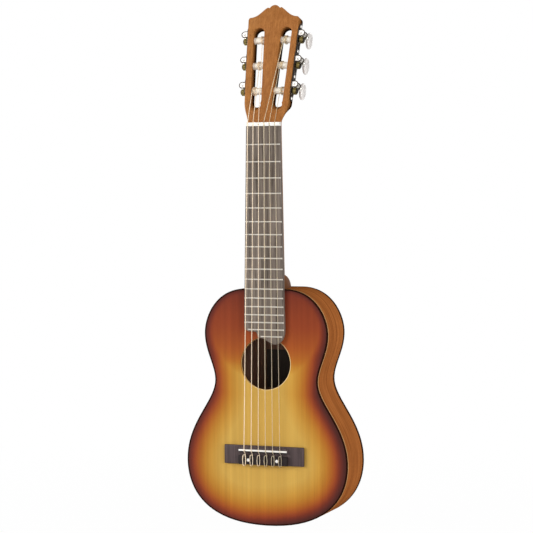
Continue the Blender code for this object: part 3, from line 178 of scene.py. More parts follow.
def sawn(name, loops, thickness):
    """A board of that thickness, centred on Z, sawn to the first loop, with the others as holes."""
    flat = [[(across, up, 0.0) for across, up in loop] for loop in loops]
    curve = drawing(bpy.ops.curve.primitive_bezier_circle_add, flat, True)
    curve.dimensions = "2D"
    curve.fill_mode = "BOTH"
    curve.extrude = thickness / 2.0
    bpy.ops.object.convert(target="MESH")
    return clean(named(name))


def modified(piece, kind, **settings):
    """Add a modifier, set it and apply it."""
    only(piece)
    modifier = piece.modifiers.new(kind.title(), kind)
    for key, value in settings.items():
        setattr(modifier, key, value)
    bpy.ops.object.modifier_apply(modifier=modifier.name)
    return piece


def rounded(piece, width, segments=2):
    """Round over the sharp edges."""
    return modified(piece, "BEVEL", width=width, segments=segments, limit_method="ANGLE",
                    angle_limit=math.radians(40.0), miter_outer="MITER_ARC")


def bisected(piece, planes, **options):
    """Cut a mesh along planes, each given by a point and a direction."""
    with editing(piece):
        for spot, direction in planes:
            bpy.ops.mesh.select_all(action="SELECT")
            bpy.ops.mesh.bisect(plane_co=spot, plane_no=direction, **options)
    return piece


def cut(piece, tool, operation="DIFFERENCE"):
    """Cut a piece with a tool, or join it, and put the tool away."""
    modified(piece, "BOOLEAN", operation=operation, object=tool, solver="EXACT")
    bpy.data.objects.remove(tool)
    return piece


def joined(name, pieces):
    """Several meshes as one object."""
    deselect()
    for piece in pieces:
        piece.select_set(True)
    bpy.context.view_layer.objects.active = pieces[0]
    bpy.ops.object.join()
    return named(name)


def copied(piece, name, matrix):
    """A copy with its own mesh, moved to its place."""
    twin = piece.copy()
    twin.data = piece.data.copy()
    bpy.context.scene.collection.objects.link(twin)
    twin.name = name
    twin.data.name = name
    twin.data.transform(matrix)
    return twin


def hand_over(piece, finish, nodes=(), body=INSTRUMENT, smooth=38.0):
    """Give a piece its finish, hide the frame's parts that it takes the place of, and hang it on the body that
    it moves with.
    """
    only(piece)
    piece.data.materials.clear()
    piece.data.materials.append(finish)
    bpy.ops.object.shade_smooth_by_angle(angle=math.radians(smooth))
    if nodes:
        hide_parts(*nodes)
    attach(piece, body)
    return piece


def second_finish(piece, finish, chosen):
    """Give the chosen faces of a piece another finish."""
    piece.data.materials.append(finish)
    for face in piece.data.polygons:
        if chosen(face):
            face.material_index = 1


def axes(origin, z_axis, x_axis):
    """A place with its own upright and sideways directions."""
    z_axis = z_axis.normalized()
    x_axis = (x_axis - z_axis * x_axis.dot(z_axis)).normalized()
    place = Matrix((x_axis, z_axis.cross(x_axis), z_axis)).transposed().to_4x4()
    place.translation = origin
    return place


ACROSS = Vector((1.0, 0.0, 0.0))
INWARD = Vector((0.0, 1.0, 0.0))
UPWARD = Vector((0.0, 0.0, 1.0))


def against_face(depth):
    """A drawing stood up in the plane of the soundboard, its middle at that depth."""
    return axes(INWARD * depth, -INWARD, ACROSS)


def drilled(radius, place, direction, length, sides=20, around=ACROSS):
    """A round bar from a place in a direction, for cutting holes."""
    bar = fresh("drill", bpy.ops.mesh.primitive_cylinder_add, vertices=sides, radius=radius, depth=length)
    return put(bar, axes(place + direction * length / 2.0, direction, around))


def arc(centre, radius, start, end, steps):
    """Points on an arc between two angles in degrees."""
    angles = [math.radians(start + (end - start) * i / steps) for i in range(steps + 1)]
    return [(centre[0] + radius * math.cos(a), centre[1] + radius * math.sin(a)) for a in angles]


def circle(centre, radius, steps):
    """A closed round line."""
    return arc(centre, radius, 0.0, 360.0, steps)[:-1]


def bend(start, first, second, end, steps):
    """Points on a curve with two handles, without its start."""
    points = []
    for i in range(1, steps + 1):
        t = i / steps
        parts = ((1 - t) ** 3, 3 * (1 - t) ** 2 * t, 3 * (1 - t) * t * t, t ** 3)
        points.append(tuple(sum(w * p[k] for w, p in zip(parts, (start, first, second, end))) for k in (0, 1)))
    return points


print("bench ready")

# %% [markdown]
# ## Light and floor
#
# The instrument was photographed on white, in soft light from the front.
# The floor and the air behind it are white for the camera and for what mirrors them.
# The lamps stay gentle, so that wood keeps the colour that its finish gives it.
# A few helpers build node trees: each input of a node is linked to a socket or set to a value.

# %% Light and floor
FLOOR_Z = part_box("binding_back")[0].z - 3.0 * MM
FLOOR_REACH = 6.0
SHADOW_REACH = 0.25
CLEAR_REACH = 0.9
FLOOR_GLOW = 0.985
SOFT_LIGHT = 0.30
WHITE = (1.0, 1.0, 1.0, 1.0)


def fill(tree, made, inputs):
    """Link each input of a node to a socket, or set it to a plain value."""
    for key, value in inputs.items():
        if isinstance(value, bpy.types.NodeSocket):
            tree.links.new(value, made.inputs[key])
        else:
            made.inputs[key].default_value = value
    return made


def node(tree, kind, inputs=None, **settings):
    """A new node with its settings and its inputs."""
    made = tree.nodes.new(kind)
    for key, value in settings.items():
        setattr(made, key, value)
    return fill(tree, made, inputs or {})


def maths(tree, operation, *values):
    """The result of an operation on numbers."""
    return node(tree, "ShaderNodeMath", dict(enumerate(values)), operation=operation).outputs["Value"]


def vectors(tree, operation, *values, result="Vector"):
    """The result of an operation on vectors."""
    return node(tree, "ShaderNodeVectorMath", dict(enumerate(values)), operation=operation).outputs[result]


def ranged(tree, value, start, end, low=0.0, high=1.0):
    """A value carried from one range to another, and held at the ends."""
    inputs = {"Value": value, "From Min": start, "From Max": end, "To Min": low, "To Max": high}
    return node(tree, "ShaderNodeMapRange", inputs).outputs["Result"]


def position(tree):
    """The position on the piece."""
    return node(tree, "ShaderNodeTexCoord").outputs["Object"]


def blank(name):
    """A new material, its node tree and its shader."""
    finish = bpy.data.materials.new(name)
    finish.use_nodes = True
    return finish, finish.node_tree, finish.node_tree.nodes["Principled BSDF"]


def looked_at(tree):
    """One where the camera, a mirror or clear plastic looks, and nothing where light only falls."""
    way = node(tree, "ShaderNodeLightPath").outputs
    seen = maths(tree, "MAXIMUM", way["Is Camera Ray"], way["Is Glossy Ray"])
    return maths(tree, "MAXIMUM", seen, way["Is Transmission Ray"])


world = bpy.data.worlds.new("studio")
bpy.context.scene.world = world
world.use_nodes = True
air = world.node_tree
air.nodes.clear()
soft = node(air, "ShaderNodeBackground", {"Color": WHITE, "Strength": SOFT_LIGHT})
white = node(air, "ShaderNodeBackground", {"Color": WHITE, "Strength": 1.0})
choose = node(air, "ShaderNodeMixShader", {0: looked_at(air), 1: soft.outputs[0], 2: white.outputs[0]})
node(air, "ShaderNodeOutputWorld", {"Surface": choose.outputs[0]})


def aimed(place, target_z, front):
    """The turn that points a lamp's or a card's front at the middle of the instrument."""
    return (Vector((0.0, 0.0, target_z)) - Vector(place)).to_track_quat(front, "Y").to_euler()


def lamp(name, place, size, power):
    """A soft square lamp."""
    light = bpy.data.lights.new(name, "AREA")
    light.size = size
    light.energy = power
    holder = bpy.data.objects.new(name, light)
    bpy.context.scene.collection.objects.link(holder)
    holder.location = place
    holder.rotation_euler = aimed(place, -0.2, "-Z")


def flag(name, place, size):
    """A black card that only mirrors see; it draws the dark lines on polished metal."""
    card = fresh(name, bpy.ops.mesh.primitive_plane_add, size=size)
    card.location = place
    card.rotation_euler = aimed(place, -0.1, "Z")
    card.visible_camera = card.visible_diffuse = card.visible_transmission = card.visible_shadow = False
    black, tree, shader = blank(name)
    fill(tree, shader, {"Base Color": (0.01, 0.01, 0.01, 1.0)})
    card.data.materials.append(black)


lamp("key_lamp", (-2.2, -1.9, 0.5), 1.3, 56.0)
lamp("side_lamp", (2.3, -1.35, 0.1), 1.2, 34.0)
lamp("rim_lamp", (0.6, 1.8, 1.2), 1.2, 8.0)
flag("flag_right", (1.6, 1.4, 0.1), 3.0)
flag("flag_left", (-1.7, 1.3, 0.1), 2.4)
flag("flag_front", (-0.85, -2.2, 0.0), 1.2)

floor = fresh("floor", bpy.ops.mesh.primitive_plane_add, size=2.0 * FLOOR_REACH, location=(0.0, 0.0, FLOOR_Z))
paper, sheet, matt = blank("floor_paper")
fill(sheet, matt, {"Base Color": (0.86, 0.86, 0.86, 1.0), "Roughness": 0.9})
glow = node(sheet, "ShaderNodeEmission", {"Color": WHITE})
away = vectors(sheet, "LENGTH", position(sheet), result="Value")
clear = ranged(sheet, away, SHADOW_REACH, CLEAR_REACH, FLOOR_GLOW)
share = maths(sheet, "MULTIPLY", looked_at(sheet), clear)
blend = node(sheet, "ShaderNodeMixShader", {0: share, 1: matt.outputs[0], 2: glow.outputs[0]})
fill(sheet, sheet.nodes["Material Output"], {"Surface": blend.outputs[0]})
floor.data.materials.append(paper)

bpy.context.scene.view_settings.view_transform = "Standard"
print("floor at", round(FLOOR_Z, 4))

# %% [markdown]
# ## Shared effects
#
# Wood shows long streaks and short dark pores that both run along the grain.
# Lacquer is never quite flat, and plated metal carries faint polishing lines.
# Each effect is a node group, built once and placed in every finish that needs it.

# %% Shared effects


def screen(red, green, blue):
    """A colour as it looks on screen, 0 to 255, in the linear values that a shader takes."""
    parts = [c / 255.0 for c in (red, green, blue)]
    return tuple(c / 12.92 if c <= 0.04045 else ((c + 0.055) / 1.055) ** 2.4 for c in parts) + (1.0,)


def noise(tree, place, **inputs):
    """Soft clouds of random value."""
    return node(tree, "ShaderNodeTexNoise", {"Vector": place, **inputs}).outputs["Fac"]


def new_group(name, numbers, results):
    """A node group that takes a position and some numbers, with its input sockets and its output."""
    group = bpy.data.node_groups.new(name, "ShaderNodeTree")
    group.interface.new_socket(name="Vector", in_out="INPUT", socket_type="NodeSocketVector")
    for title, value in numbers.items():
        socket = group.interface.new_socket(name=title, in_out="INPUT", socket_type="NodeSocketFloat")
        socket.default_value = value
    for title in results:
        group.interface.new_socket(name=title, in_out="OUTPUT", socket_type="NodeSocketFloat")
    return group, node(group, "NodeGroupInput").outputs, node(group, "NodeGroupOutput")


grain, given, leave = new_group(
    "wood_grain", {"Streaks": 260.0, "Pores": 1500.0, "Along": 0.03}, ("Streak", "Pore"))
for source, title, low, high in (("Streaks", "Streak", 0.30, 0.70), ("Pores", "Pore", 0.56, 0.70)):
    slow = maths(grain, "MULTIPLY", given[source], given["Along"])
    triple = node(grain, "ShaderNodeCombineXYZ", {"X": given[source], "Y": given[source], "Z": slow})
    scaled = vectors(grain, "MULTIPLY", given["Vector"], triple.outputs["Vector"])
    cloud = noise(grain, scaled, Scale=1.0, Detail=3.0, Roughness=0.6)
    fill(grain, leave, {title: ranged(grain, cloud, low, high)})

scratch, given, leave = new_group("polishing_lines", {"Fineness": 900.0}, ("Lines",))
drawn = vectors(scratch, "MULTIPLY", given["Vector"], (1.0, 1.0, 0.06))
lines = noise(scratch, drawn, Scale=given["Fineness"], Detail=4.0, Roughness=0.7)
fill(scratch, leave, {"Lines": lines})

ripple, given, leave = new_group("lacquer_ripple", {}, ("Height",))
fill(ripple, leave, {"Height": noise(ripple, given["Vector"], Scale=90.0, Detail=2.0)})
print("groups:", [g.name for g in bpy.data.node_groups])

# %% [markdown]
# ## Wood finishes
#
# Each wood starts from a light and a dark tone of one colour, mixed by the streaks.
# The pores darken it a little further, and they dent the bump map where the wood is left open.
# Elsewhere the lacquer's slow ripple takes the place of the pores, so it mirrors the studio softly.
# Every colour is written as it looks on screen: the light tone, the dark tone and the pore.

# %% Wood finishes


def effect(tree, group, place, **values):
    """What a shared effect gives at a position."""
    return node(tree, "ShaderNodeGroup", {"Vector": place, **values}, node_tree=group).outputs


def mixed(tree, factor, first, second, mode="MIX"):
    """Mix two colours; each is a socket or a plain colour."""
    return node(tree, "ShaderNodeMix", {0: factor, 6: first, 7: second}, data_type="RGBA",
                blend_type=mode).outputs[2]


def bumped(tree, shader, height, strength, distance):
    """Feed a height into the shader's normal."""
    bump = node(tree, "ShaderNodeBump", {"Height": height, "Strength": strength, "Distance": distance})
    fill(tree, shader, {"Normal": bump.outputs["Normal"]})


def wood(name, tones, roughness, gloss, streaks=260.0, pores=1500.0, open_pores=0.0, stain_and_shade=None,
         place_of=position):
    """A wood with streaks and pores along the grain, and a tint that deepens in one direction: a stain on some
    woods and painted shade on others.
    """
    finish, tree, shader = blank(name)
    light, dark, pore = [screen(*tone) for tone in tones]
    place = place_of(tree)
    figure = effect(tree, grain, place, Streaks=streaks, Pores=pores)
    colour = mixed(tree, figure["Streak"], dark, light)
    colour = mixed(tree, maths(tree, "MULTIPLY", figure["Pore"], 0.6), colour, pore)
    # The tint deepens along one direction: a stain on the headstock's face, partly painted shade on the heel,
    # painted shade on the sawn headstock edges.
    if stain_and_shade:
        tone, direction, start, end = stain_and_shade
        depth = ranged(tree, vectors(tree, "DOT_PRODUCT", place, direction, result="Value"), start, end)
        colour = mixed(tree, depth, colour, tone, "MULTIPLY")
    fill(tree, shader, {"Base Color": colour, "Roughness": roughness, "Specular IOR Level": gloss})
    if open_pores:
        bumped(tree, shader, figure["Pore"], -open_pores, 0.0003)
    else:
        bumped(tree, shader, effect(tree, ripple, place)["Height"], 0.04, 0.001)
    return finish


HEAD_TONES = ((183, 124, 68), (157, 101, 51), (100, 54, 30))
HEAD_WOOD = wood("head_mahogany", HEAD_TONES, 0.45, 0.08, streaks=420.0,
                 stain_and_shade=((0.95, 0.90, 0.88, 1.0), (1.0, 0.0, 0.0), -27.0 * MM, -12.0 * MM))
# Towards the heel the neck darkens strongly: partly end grain that takes up more finish, partly painted shade
# on the heel.
NECK_WOOD = wood("neck_mahogany", HEAD_TONES, 0.5, 0.05, streaks=420.0,
                 stain_and_shade=((0.40, 0.37, 0.44, 1.0), (0.0, 0.0, -1.0), 150.0 * MM, 205.0 * MM))
BACK_WOOD = wood("back_mahogany", ((170, 102, 44), (138, 78, 32), (88, 46, 22)), 0.45, 0.1, streaks=180.0)
BOARD_WOOD = wood("fingerboard_rosewood", ((146, 133, 122), (76, 66, 58), (36, 30, 26)), 0.55, 0.2,
                  streaks=420.0, pores=1800.0, open_pores=0.5)
BRIDGE_WOOD = wood("bridge_rosewood", ((88, 72, 72), (58, 46, 46), (26, 20, 20)), 0.48, 0.3,
                   streaks=300.0, pores=1600.0, open_pores=0.4)
# A darker rosewood for the tie block, which also stands as painted shade in the groove before it.
TIE_WOOD_AND_GROOVE_SHADE = wood("tie_block_rosewood_groove_shade", ((52, 43, 43), (34, 27, 27), (18, 14, 14)), 0.5, 0.15,
                streaks=300.0, pores=1600.0, open_pores=0.4)
INNER_WOOD = wood("inner_wood", ((176, 136, 116), (136, 102, 84), (84, 58, 46)), 0.8, 0.1, streaks=140.0,
                  open_pores=0.4)
# A darker copy of the inner wood, as painted shade inside the body.
SHADED_INSIDE = wood("shaded_inner_wood", ((66, 46, 38), (48, 32, 26), (30, 20, 16)), 0.8, 0.0, streaks=140.0)
print("woods made")

# %% [markdown]
# ## The sunburst
#
# A sunburst is sprayed: the middle stays golden, and the colour deepens through amber and red
# brown to almost black at the edge. Above the sound hole the amber never clears to gold.
# The soundboard's mesh carries its own distance from the edge, in millimetres, at every point.
# A colour ramp reads that distance, held down by the height on the board, and the spruce's fine
# straight grain lies over it.

# %% The sunburst
BURST_REACH = 60.0
BURST_STOPS = ((0.0, (72, 31, 25)), (3.0, (92, 37, 29)), (6.5, (116, 46, 28)), (10.0, (141, 61, 29)),
               (14.0, (161, 80, 30)), (20.0, (177, 106, 34)), (27.0, (187, 128, 44)), (36.0, (198, 148, 60)),
               (50.0, (206, 165, 79)))
BURST_TOP = -217.0 * MM
BURST_END = -535.0 * MM
# Height on the board, and how far from the edge the colour may come there, both as shares
CLEARING = ((0.0, 0.105), (0.03, 0.115), (0.094, 0.145), (0.182, 0.183), (0.277, 0.275), (0.33, 0.46),
            (0.38, 0.80), (0.43, 1.0), (1.0, 1.0))
# Height on the board, and how much narrower the dark band is there, as a share of ten millimetres
NARROWING = ((0.0, 0.0), (0.26, 0.02), (0.37, 0.50), (0.45, 0.16), (0.62, 0.0), (0.85, 0.05), (1.0, 0.17))

TOP_FINISH, top_tree, top_shader = blank("sunburst_spruce")
edge = node(top_tree, "ShaderNodeAttribute", attribute_name="edge_distance").outputs["Fac"]
top_place = position(top_tree)
top_axes = node(top_tree, "ShaderNodeSeparateXYZ", {"Vector": top_place}).outputs
height = ranged(top_tree, top_axes["Z"], BURST_TOP, BURST_END)


def curve_of(points, factor):
    """A drawn curve of the height, times a number."""
    drawn_curve = node(top_tree, "ShaderNodeFloatCurve", {"Value": height})
    line = drawn_curve.mapping.curves[0]
    line.points[0].location = points[0]
    line.points[1].location = points[-1]
    for point in points[1:-1]:
        line.points.new(*point)
    drawn_curve.mapping.update()
    return maths(top_tree, "MULTIPLY", drawn_curve.outputs["Value"], factor)


limit = curve_of(CLEARING, BURST_REACH)
narrower = curve_of(NARROWING, 10.0)
# On the treble side, below the shoulder, the dark band is a little wider
treble_side = ranged(top_tree, top_axes["X"], -30.0 * MM, 30.0 * MM, high=4.4)
lower = ranged(top_tree, top_axes["Z"], -255.0 * MM, -345.0 * MM)
wider = maths(top_tree, "MULTIPLY", treble_side, lower)
shifted = maths(top_tree, "ADD", edge, maths(top_tree, "SUBTRACT", narrower, wider))
held = maths(top_tree, "SMOOTH_MIN", shifted, limit, 4.0)
mist = noise(top_tree, top_place, Scale=26.0, Detail=1.0)
drift = ranged(top_tree, mist, 0.0, 1.0, 0.94 / BURST_REACH, 1.06 / BURST_REACH)
burst = node(top_tree, "ShaderNodeValToRGB", {"Fac": maths(top_tree, "MULTIPLY", held, drift)})
stops = burst.color_ramp.elements
for index, (distance, tone) in enumerate(BURST_STOPS):
    stop = stops[index] if index < 2 else stops.new(distance / BURST_REACH)
    stop.position = distance / BURST_REACH
    stop.color = screen(*tone)

fine = effect(top_tree, grain, top_place, Streaks=150.0, Pores=1900.0, Along=0.008)
broad = effect(top_tree, grain, top_place, Streaks=46.0, Pores=1900.0, Along=0.004)
streaked = mixed(top_tree, fine["Streak"], (0.90, 0.88, 0.86, 1.0), (1.07, 1.07, 1.06, 1.0))
boards = mixed(top_tree, broad["Streak"], (0.95, 0.93, 0.90, 1.0), (1.04, 1.04, 1.04, 1.0))
planked = mixed(top_tree, 1.0, burst.outputs["Color"], boards, "MULTIPLY")
wooded = mixed(top_tree, 1.0, planked, streaked, "MULTIPLY")
specks = maths(top_tree, "MULTIPLY", fine["Pore"], 0.16)
fibre = mixed(top_tree, specks, wooded, screen(110, 62, 30), "MULTIPLY")
# The cut edge is pale where it catches the light, at the lower right, and in shade at the upper left
from_hole = vectors(top_tree, "MULTIPLY_ADD", top_place, (1.0, 0.0, 1.0), (0.0, 0.0, 316.5 * MM))
lip = maths(top_tree, "LESS_THAN", vectors(top_tree, "LENGTH", from_hole, result="Value"), 35.8 * MM)
lit_side = vectors(top_tree, "DOT_PRODUCT", from_hole, (0.75, 0.0, -0.66), result="Value")
lit = ranged(top_tree, lit_side, -14.0 * MM, 14.0 * MM)
cut_edge = mixed(top_tree, lit, screen(96, 56, 28), screen(244, 216, 160))
fill(top_tree, top_shader, {"Base Color": mixed(top_tree, lip, fibre, cut_edge), "Roughness": 0.36,
                            "Specular IOR Level": 0.18})
bumped(top_tree, top_shader, effect(top_tree, ripple, top_place)["Height"], 0.03, 0.001)
print("sunburst stops:", len(stops))

# %% [markdown]
# ## Metal, bone, plastic and string finishes
#
# The worms are nickel, the gears brass, and the side plates dark steel with bright zinc screws.
# The nut and saddle are a hard white like bone, and the frets a pale hard wire.
# The tuner buttons imitate mother of pearl: pale cells that differ a little in tone and gloss.
# A bass string is nylon floss wound with fine silvered wire, so light breaks on its ridges.

# %% Metal, bone, plastic and string finishes


def metal(name, bright, dull, roughness):
    """Polished or plated metal with faint lines."""
    finish, tree, shader = blank(name)
    lines = effect(tree, scratch, position(tree), Fineness=900.0)["Lines"]
    fill(tree, shader, {"Base Color": mixed(tree, lines, screen(*dull), screen(*bright)), "Metallic": 1.0,
                        "Roughness": ranged(tree, lines, 0.0, 1.0, roughness * 0.8, roughness * 1.3)})
    return finish


def smooth_solid(name, light, dark, roughness, scale, gloss=0.5, clear=0.0):
    """Plastic, bone or paper with a faint cloud of tone."""
    finish, tree, shader = blank(name)
    cloud = noise(tree, position(tree), Scale=scale, Detail=3.0)
    fill(tree, shader, {"Base Color": mixed(tree, cloud, screen(*dark), screen(*light)), "Roughness": roughness,
                        "Specular IOR Level": gloss, "Transmission Weight": clear})
    bumped(tree, shader, cloud, 0.05, 0.0002)
    return finish


NICKEL = metal("nickel_plate", (232, 228, 220), (178, 174, 166), 0.22)
PLATE_METAL = metal("side_plate_steel", (112, 102, 94), (58, 50, 46), 0.34)
SCREW_METAL = metal("screw_zinc", (255, 252, 248), (236, 232, 226), 0.55)
DARK_STEEL = metal("dark_steel", (74, 66, 56), (44, 38, 32), 0.38)
FRET_METAL = metal("fret_wire", (236, 230, 220), (206, 200, 190), 0.30)
BRASS = metal("gear_brass", (176, 160, 104), (122, 106, 56), 0.28)
BLACK = smooth_solid("dark_binding", (50, 24, 16), (34, 16, 10), 0.6, 400.0, 0.0)
BONE = smooth_solid("white_bone", (255, 254, 250), (252, 248, 240), 0.25, 300.0, 0.9)
CREAM = smooth_solid("roller_cream", (255, 250, 238), (250, 240, 222), 0.3, 300.0, 0.8)
NYLON = smooth_solid("clear_nylon", (250, 236, 206), (240, 224, 190), 0.3, 200.0, 0.5, 0.6)
DARK_PAPER = smooth_solid("dark_paper", (92, 84, 76), (78, 70, 64), 0.85, 500.0, 0.2)

PEARL, tree, shader = blank("pearl_button")
place = position(tree)
cells = node(tree, "ShaderNodeTexVoronoi", {"Vector": place, "Scale": 260.0}).outputs["Distance"]
veil = noise(tree, place, Scale=160.0, Detail=4.0)
pale = mixed(tree, veil, screen(238, 231, 225), screen(255, 253, 250))
flake = mixed(tree, maths(tree, "MULTIPLY", cells, 0.4), pale, screen(242, 231, 227))
fill(tree, shader, {"Base Color": flake, "Roughness": 0.22, "Coat Weight": 0.5, "Coat Roughness": 0.06})
bumped(tree, shader, veil, 0.04, 0.0002)

WOUND, tree, shader = blank("wound_string")
WRAPS_PER_METRE = 1000.0 / 0.55
wraps = node(tree, "ShaderNodeTexWave", {"Vector": position(tree), "Scale": WRAPS_PER_METRE},
             bands_direction="Z").outputs["Fac"]
# The wraps' colour is darker in their grooves and lighter on their ridges: painted shade and highlight, over
# the bump.
fill(tree, shader, {"Base Color": mixed(tree, wraps, screen(244, 210, 168), screen(255, 244, 222)),
                    "Metallic": 0.1, "Roughness": 0.42})
bumped(tree, shader, wraps, 0.3, 0.00008)
print("finishes:", len(bpy.data.materials))

# %% [markdown]
# ## Body outline
#
# The body is drawn as four curves on the treble side: shoulder, waist, lower bout and end.
# The bass side mirrors them, as a maker bends both sides on one mould.
# Moving the line inwards gives the joint for the soundboard and the binding, and the inner face of the sides.

# %% Body outline
SCALE_LENGTH = 433.0 * MM
BODY_TOP = -SCALE_LENGTH / 2.0
BODY_LENGTH = 318.0 * MM
BODY_DEPTH = 70.0 * MM
CURVE_STEPS = 22


def body_line(inset):
    """The closed outline of the body, moved inwards by an inset."""
    knots = (((28.0, 0.0), (70.4, 0.0), (87.8, 37.4), (87.8, 60.4)),
             ((87.8, 60.4), (87.8, 85.6), (73.0, 104.3), (73.0, 123.5)),
             ((73.0, 123.5), (73.0, 152.8), (114.6, 181.2), (114.6, 233.0)),
             ((114.6, 233.0), (114.6, 264.6), (98.2, 318.0), (0.0, 318.0)))
    half = [(0.0, 0.0), (28.0, 0.0)]
    for knot in knots:
        half += bend(*knot, CURVE_STEPS)
    half = [(x * MM, BODY_TOP - drop * MM) for x, drop in half]
    moved = []
    for i, (x, z) in enumerate(half):
        before, after = half[max(i - 1, 0)], half[min(i + 1, len(half) - 1)]
        run, fall = after[0] - before[0], after[1] - before[1]
        length = math.hypot(run, fall)
        moved.append((x + fall / length * inset, z - run / length * inset))
    moved[0] = (0.0, moved[0][1])
    moved[-1] = (0.0, moved[-1][1])
    return moved + [(-x, z) for x, z in moved[-2:0:-1]]


rim = body_line(0.0)
print("outline points:", len(rim))

# %% [markdown]
# ## Soundboard
#
# The soundboard is a thin spruce plate with a round hole, set inside the dark binding.
# The board is sawn from the outline, then cut into small squares with bisections, because the
# sunburst needs a distance from the edge at many points.
# The bare spruce at the lip of the hole gets a finish of its own.

# %% Soundboard
BINDING_WIDTH = 1.8 * MM
SHEET = 2.5 * MM
HOLE_Z = BODY_TOP - 100.0 * MM
HOLE_RADIUS = 35.0 * MM
CELL = 4.0 * MM
GLUE_GAP = 0.1 * MM

board_line = body_line(BINDING_WIDTH + GLUE_GAP)
soundboard = sawn("soundboard", [board_line, circle((0.0, HOLE_Z), HOLE_RADIUS, 96)], SHEET)
put(soundboard, against_face(SHEET / 2.0))
rounded(soundboard, 0.25 * MM, 1)
columns = [(ACROSS * (number * CELL - 112.0 * MM), ACROSS) for number in range(57)]
rows = [(UPWARD * (BODY_TOP - BODY_LENGTH + 4.0 * MM + number * CELL), UPWARD) for number in range(78)]
bisected(soundboard, columns + rows)

edge_tree = KDTree(len(rim) * 8)
for index in range(len(rim)):
    start, end = Vector(rim[index]), Vector(rim[(index + 1) % len(rim)])
    for part in range(8):
        spot = start.lerp(end, part / 8.0)
        edge_tree.insert((spot.x, spot.y, 0.0), index * 8 + part)
edge_tree.balance()
distances = soundboard.data.attributes.new("edge_distance", "FLOAT", "POINT")
for vertex, value in zip(soundboard.data.vertices, distances.data):
    value.value = edge_tree.find((vertex.co.x, vertex.co.z, 0.0))[2] / MM

RAW_SPRUCE = wood("bare_spruce", ((226, 184, 112), (196, 148, 82), (150, 104, 56)), 0.6, 0.0)
hand_over(soundboard, TOP_FINISH, ["soundboard"])
second_finish(soundboard, RAW_SPRUCE, lambda face: math.hypot(
    face.center.x, face.center.z - HOLE_Z) < HOLE_RADIUS + 0.3 * MM)
print("soundboard faces:", len(soundboard.data.polygons))

# %% [markdown]
# ## Back, sides and bindings
#
# The back is a flat plate, and two thin sides are bent to the outline and meet at the ends.
# Grain follows a bent side, so each side carries its own map of length and depth.
# A dark binding covers both edges of the body. A pale line runs beside it at the front edge,
# and a dark one at the back edge.

# %% Back, sides and bindings
SIDE_SHEET = 2.0 * MM
SEAM = 0.05 * MM
PALE_LINE = 5.0 * MM
DARK_LINE = 6.4 * MM

back = sawn("back", [board_line], SHEET)
put(back, against_face(BODY_DEPTH - SHEET / 2.0))
hand_over(rounded(back, 0.25 * MM, 1), BACK_WOOD, ["back"])
second_finish(back, INNER_WOOD, lambda face: face.normal.y < -0.9)


def along_side(tree):
    """The position along a bent side, from its own map."""
    return node(tree, "ShaderNodeAttribute", attribute_name="along_side").outputs["Vector"]


SIDE_WOOD = wood("side_mahogany", ((190, 117, 62), (149, 84, 40), (100, 51, 29)), 0.50, 0.0, streaks=230.0,
                 place_of=along_side)
tree = SIDE_WOOD.node_tree
shader = tree.nodes["Principled BSDF"]
veneer = shader.inputs["Base Color"].links[0].from_socket
depth = node(tree, "ShaderNodeSeparateXYZ", {"Vector": position(tree)}).outputs["Y"]
# Broad bands of lighter and darker tone run along each side: partly the figure from the way that the veneer was
# cut, partly painted satin sheen
figure_and_sheen = noise(tree, vectors(tree, "MULTIPLY", along_side(tree), (75.0, 1.0, 11.0)), Scale=1.0, Detail=2.0)
tones = mixed(tree, ranged(tree, figure_and_sheen, 0.35, 0.65), (0.84, 0.82, 0.80, 1.0), (1.10, 1.12, 1.10, 1.0))
banded = mixed(tree, 1.0, veneer, tones, "MULTIPLY")
edged = mixed(tree, maths(tree, "LESS_THAN", depth, PALE_LINE), banded, screen(204, 156, 104))
at_back = maths(tree, "GREATER_THAN", depth, BODY_DEPTH - DARK_LINE)
fill(tree, shader, {"Base Color": mixed(tree, at_back, edged, screen(64, 34, 20))})

side_loop = body_line(0.0)
inner_loop = body_line(SIDE_SHEET)
half_count = len(side_loop) // 2 + 1
lengths = [0.0]
for start, end in zip(side_loop, side_loop[1:]):
    lengths.append(lengths[-1] + math.dist(start, end))
side_points = KDTree(len(side_loop))
for index, (x, z) in enumerate(side_loop):
    side_points.insert((x, z, 0.0), index)
side_points.balance()
for name, sign in (("side_right", 1.0), ("side_left", -1.0)):
    strip = side_loop[:half_count] + inner_loop[:half_count][::-1]
    loop = [(sign * max(x, SEAM), z) for x, z in strip]
    side = sawn(name, [loop], BODY_DEPTH - 2.0 * SHEET - 2.0 * SEAM)
    put(side, against_face(BODY_DEPTH / 2.0))
    along = side.data.attributes.new("along_side", "FLOAT_VECTOR", "POINT")
    for vertex, value in zip(side.data.vertices, along.data):
        index = side_points.find((abs(vertex.co.x), vertex.co.z, 0.0))[1]
        value.vector = (vertex.co.y, sign * 0.3, lengths[index])
    hand_over(side, SIDE_WOOD, [name])
    second_finish(side, INNER_WOOD, lambda face: edge_tree.find(
        (face.center.x, face.center.z, 0.0))[2] > 0.7 * SIDE_SHEET)

for name, middle in (("binding_top", SHEET / 2.0), ("binding_back", BODY_DEPTH - SHEET / 2.0)):
    binding = sawn(name, [body_line(0.0), body_line(BINDING_WIDTH)], SHEET)
    put(binding, against_face(middle))
    hand_over(rounded(binding, 0.5 * MM, 2), BLACK, [name])
print("body closed")

# %% [markdown]
# ## Inside the body
#
# Through the sound hole one sees a dark inside: the blocks, the braces and a paper label.
# They keep the frame's own shapes, since plain bars of wood are what they are.
# Their edges are already true, so here they only get their finishes.

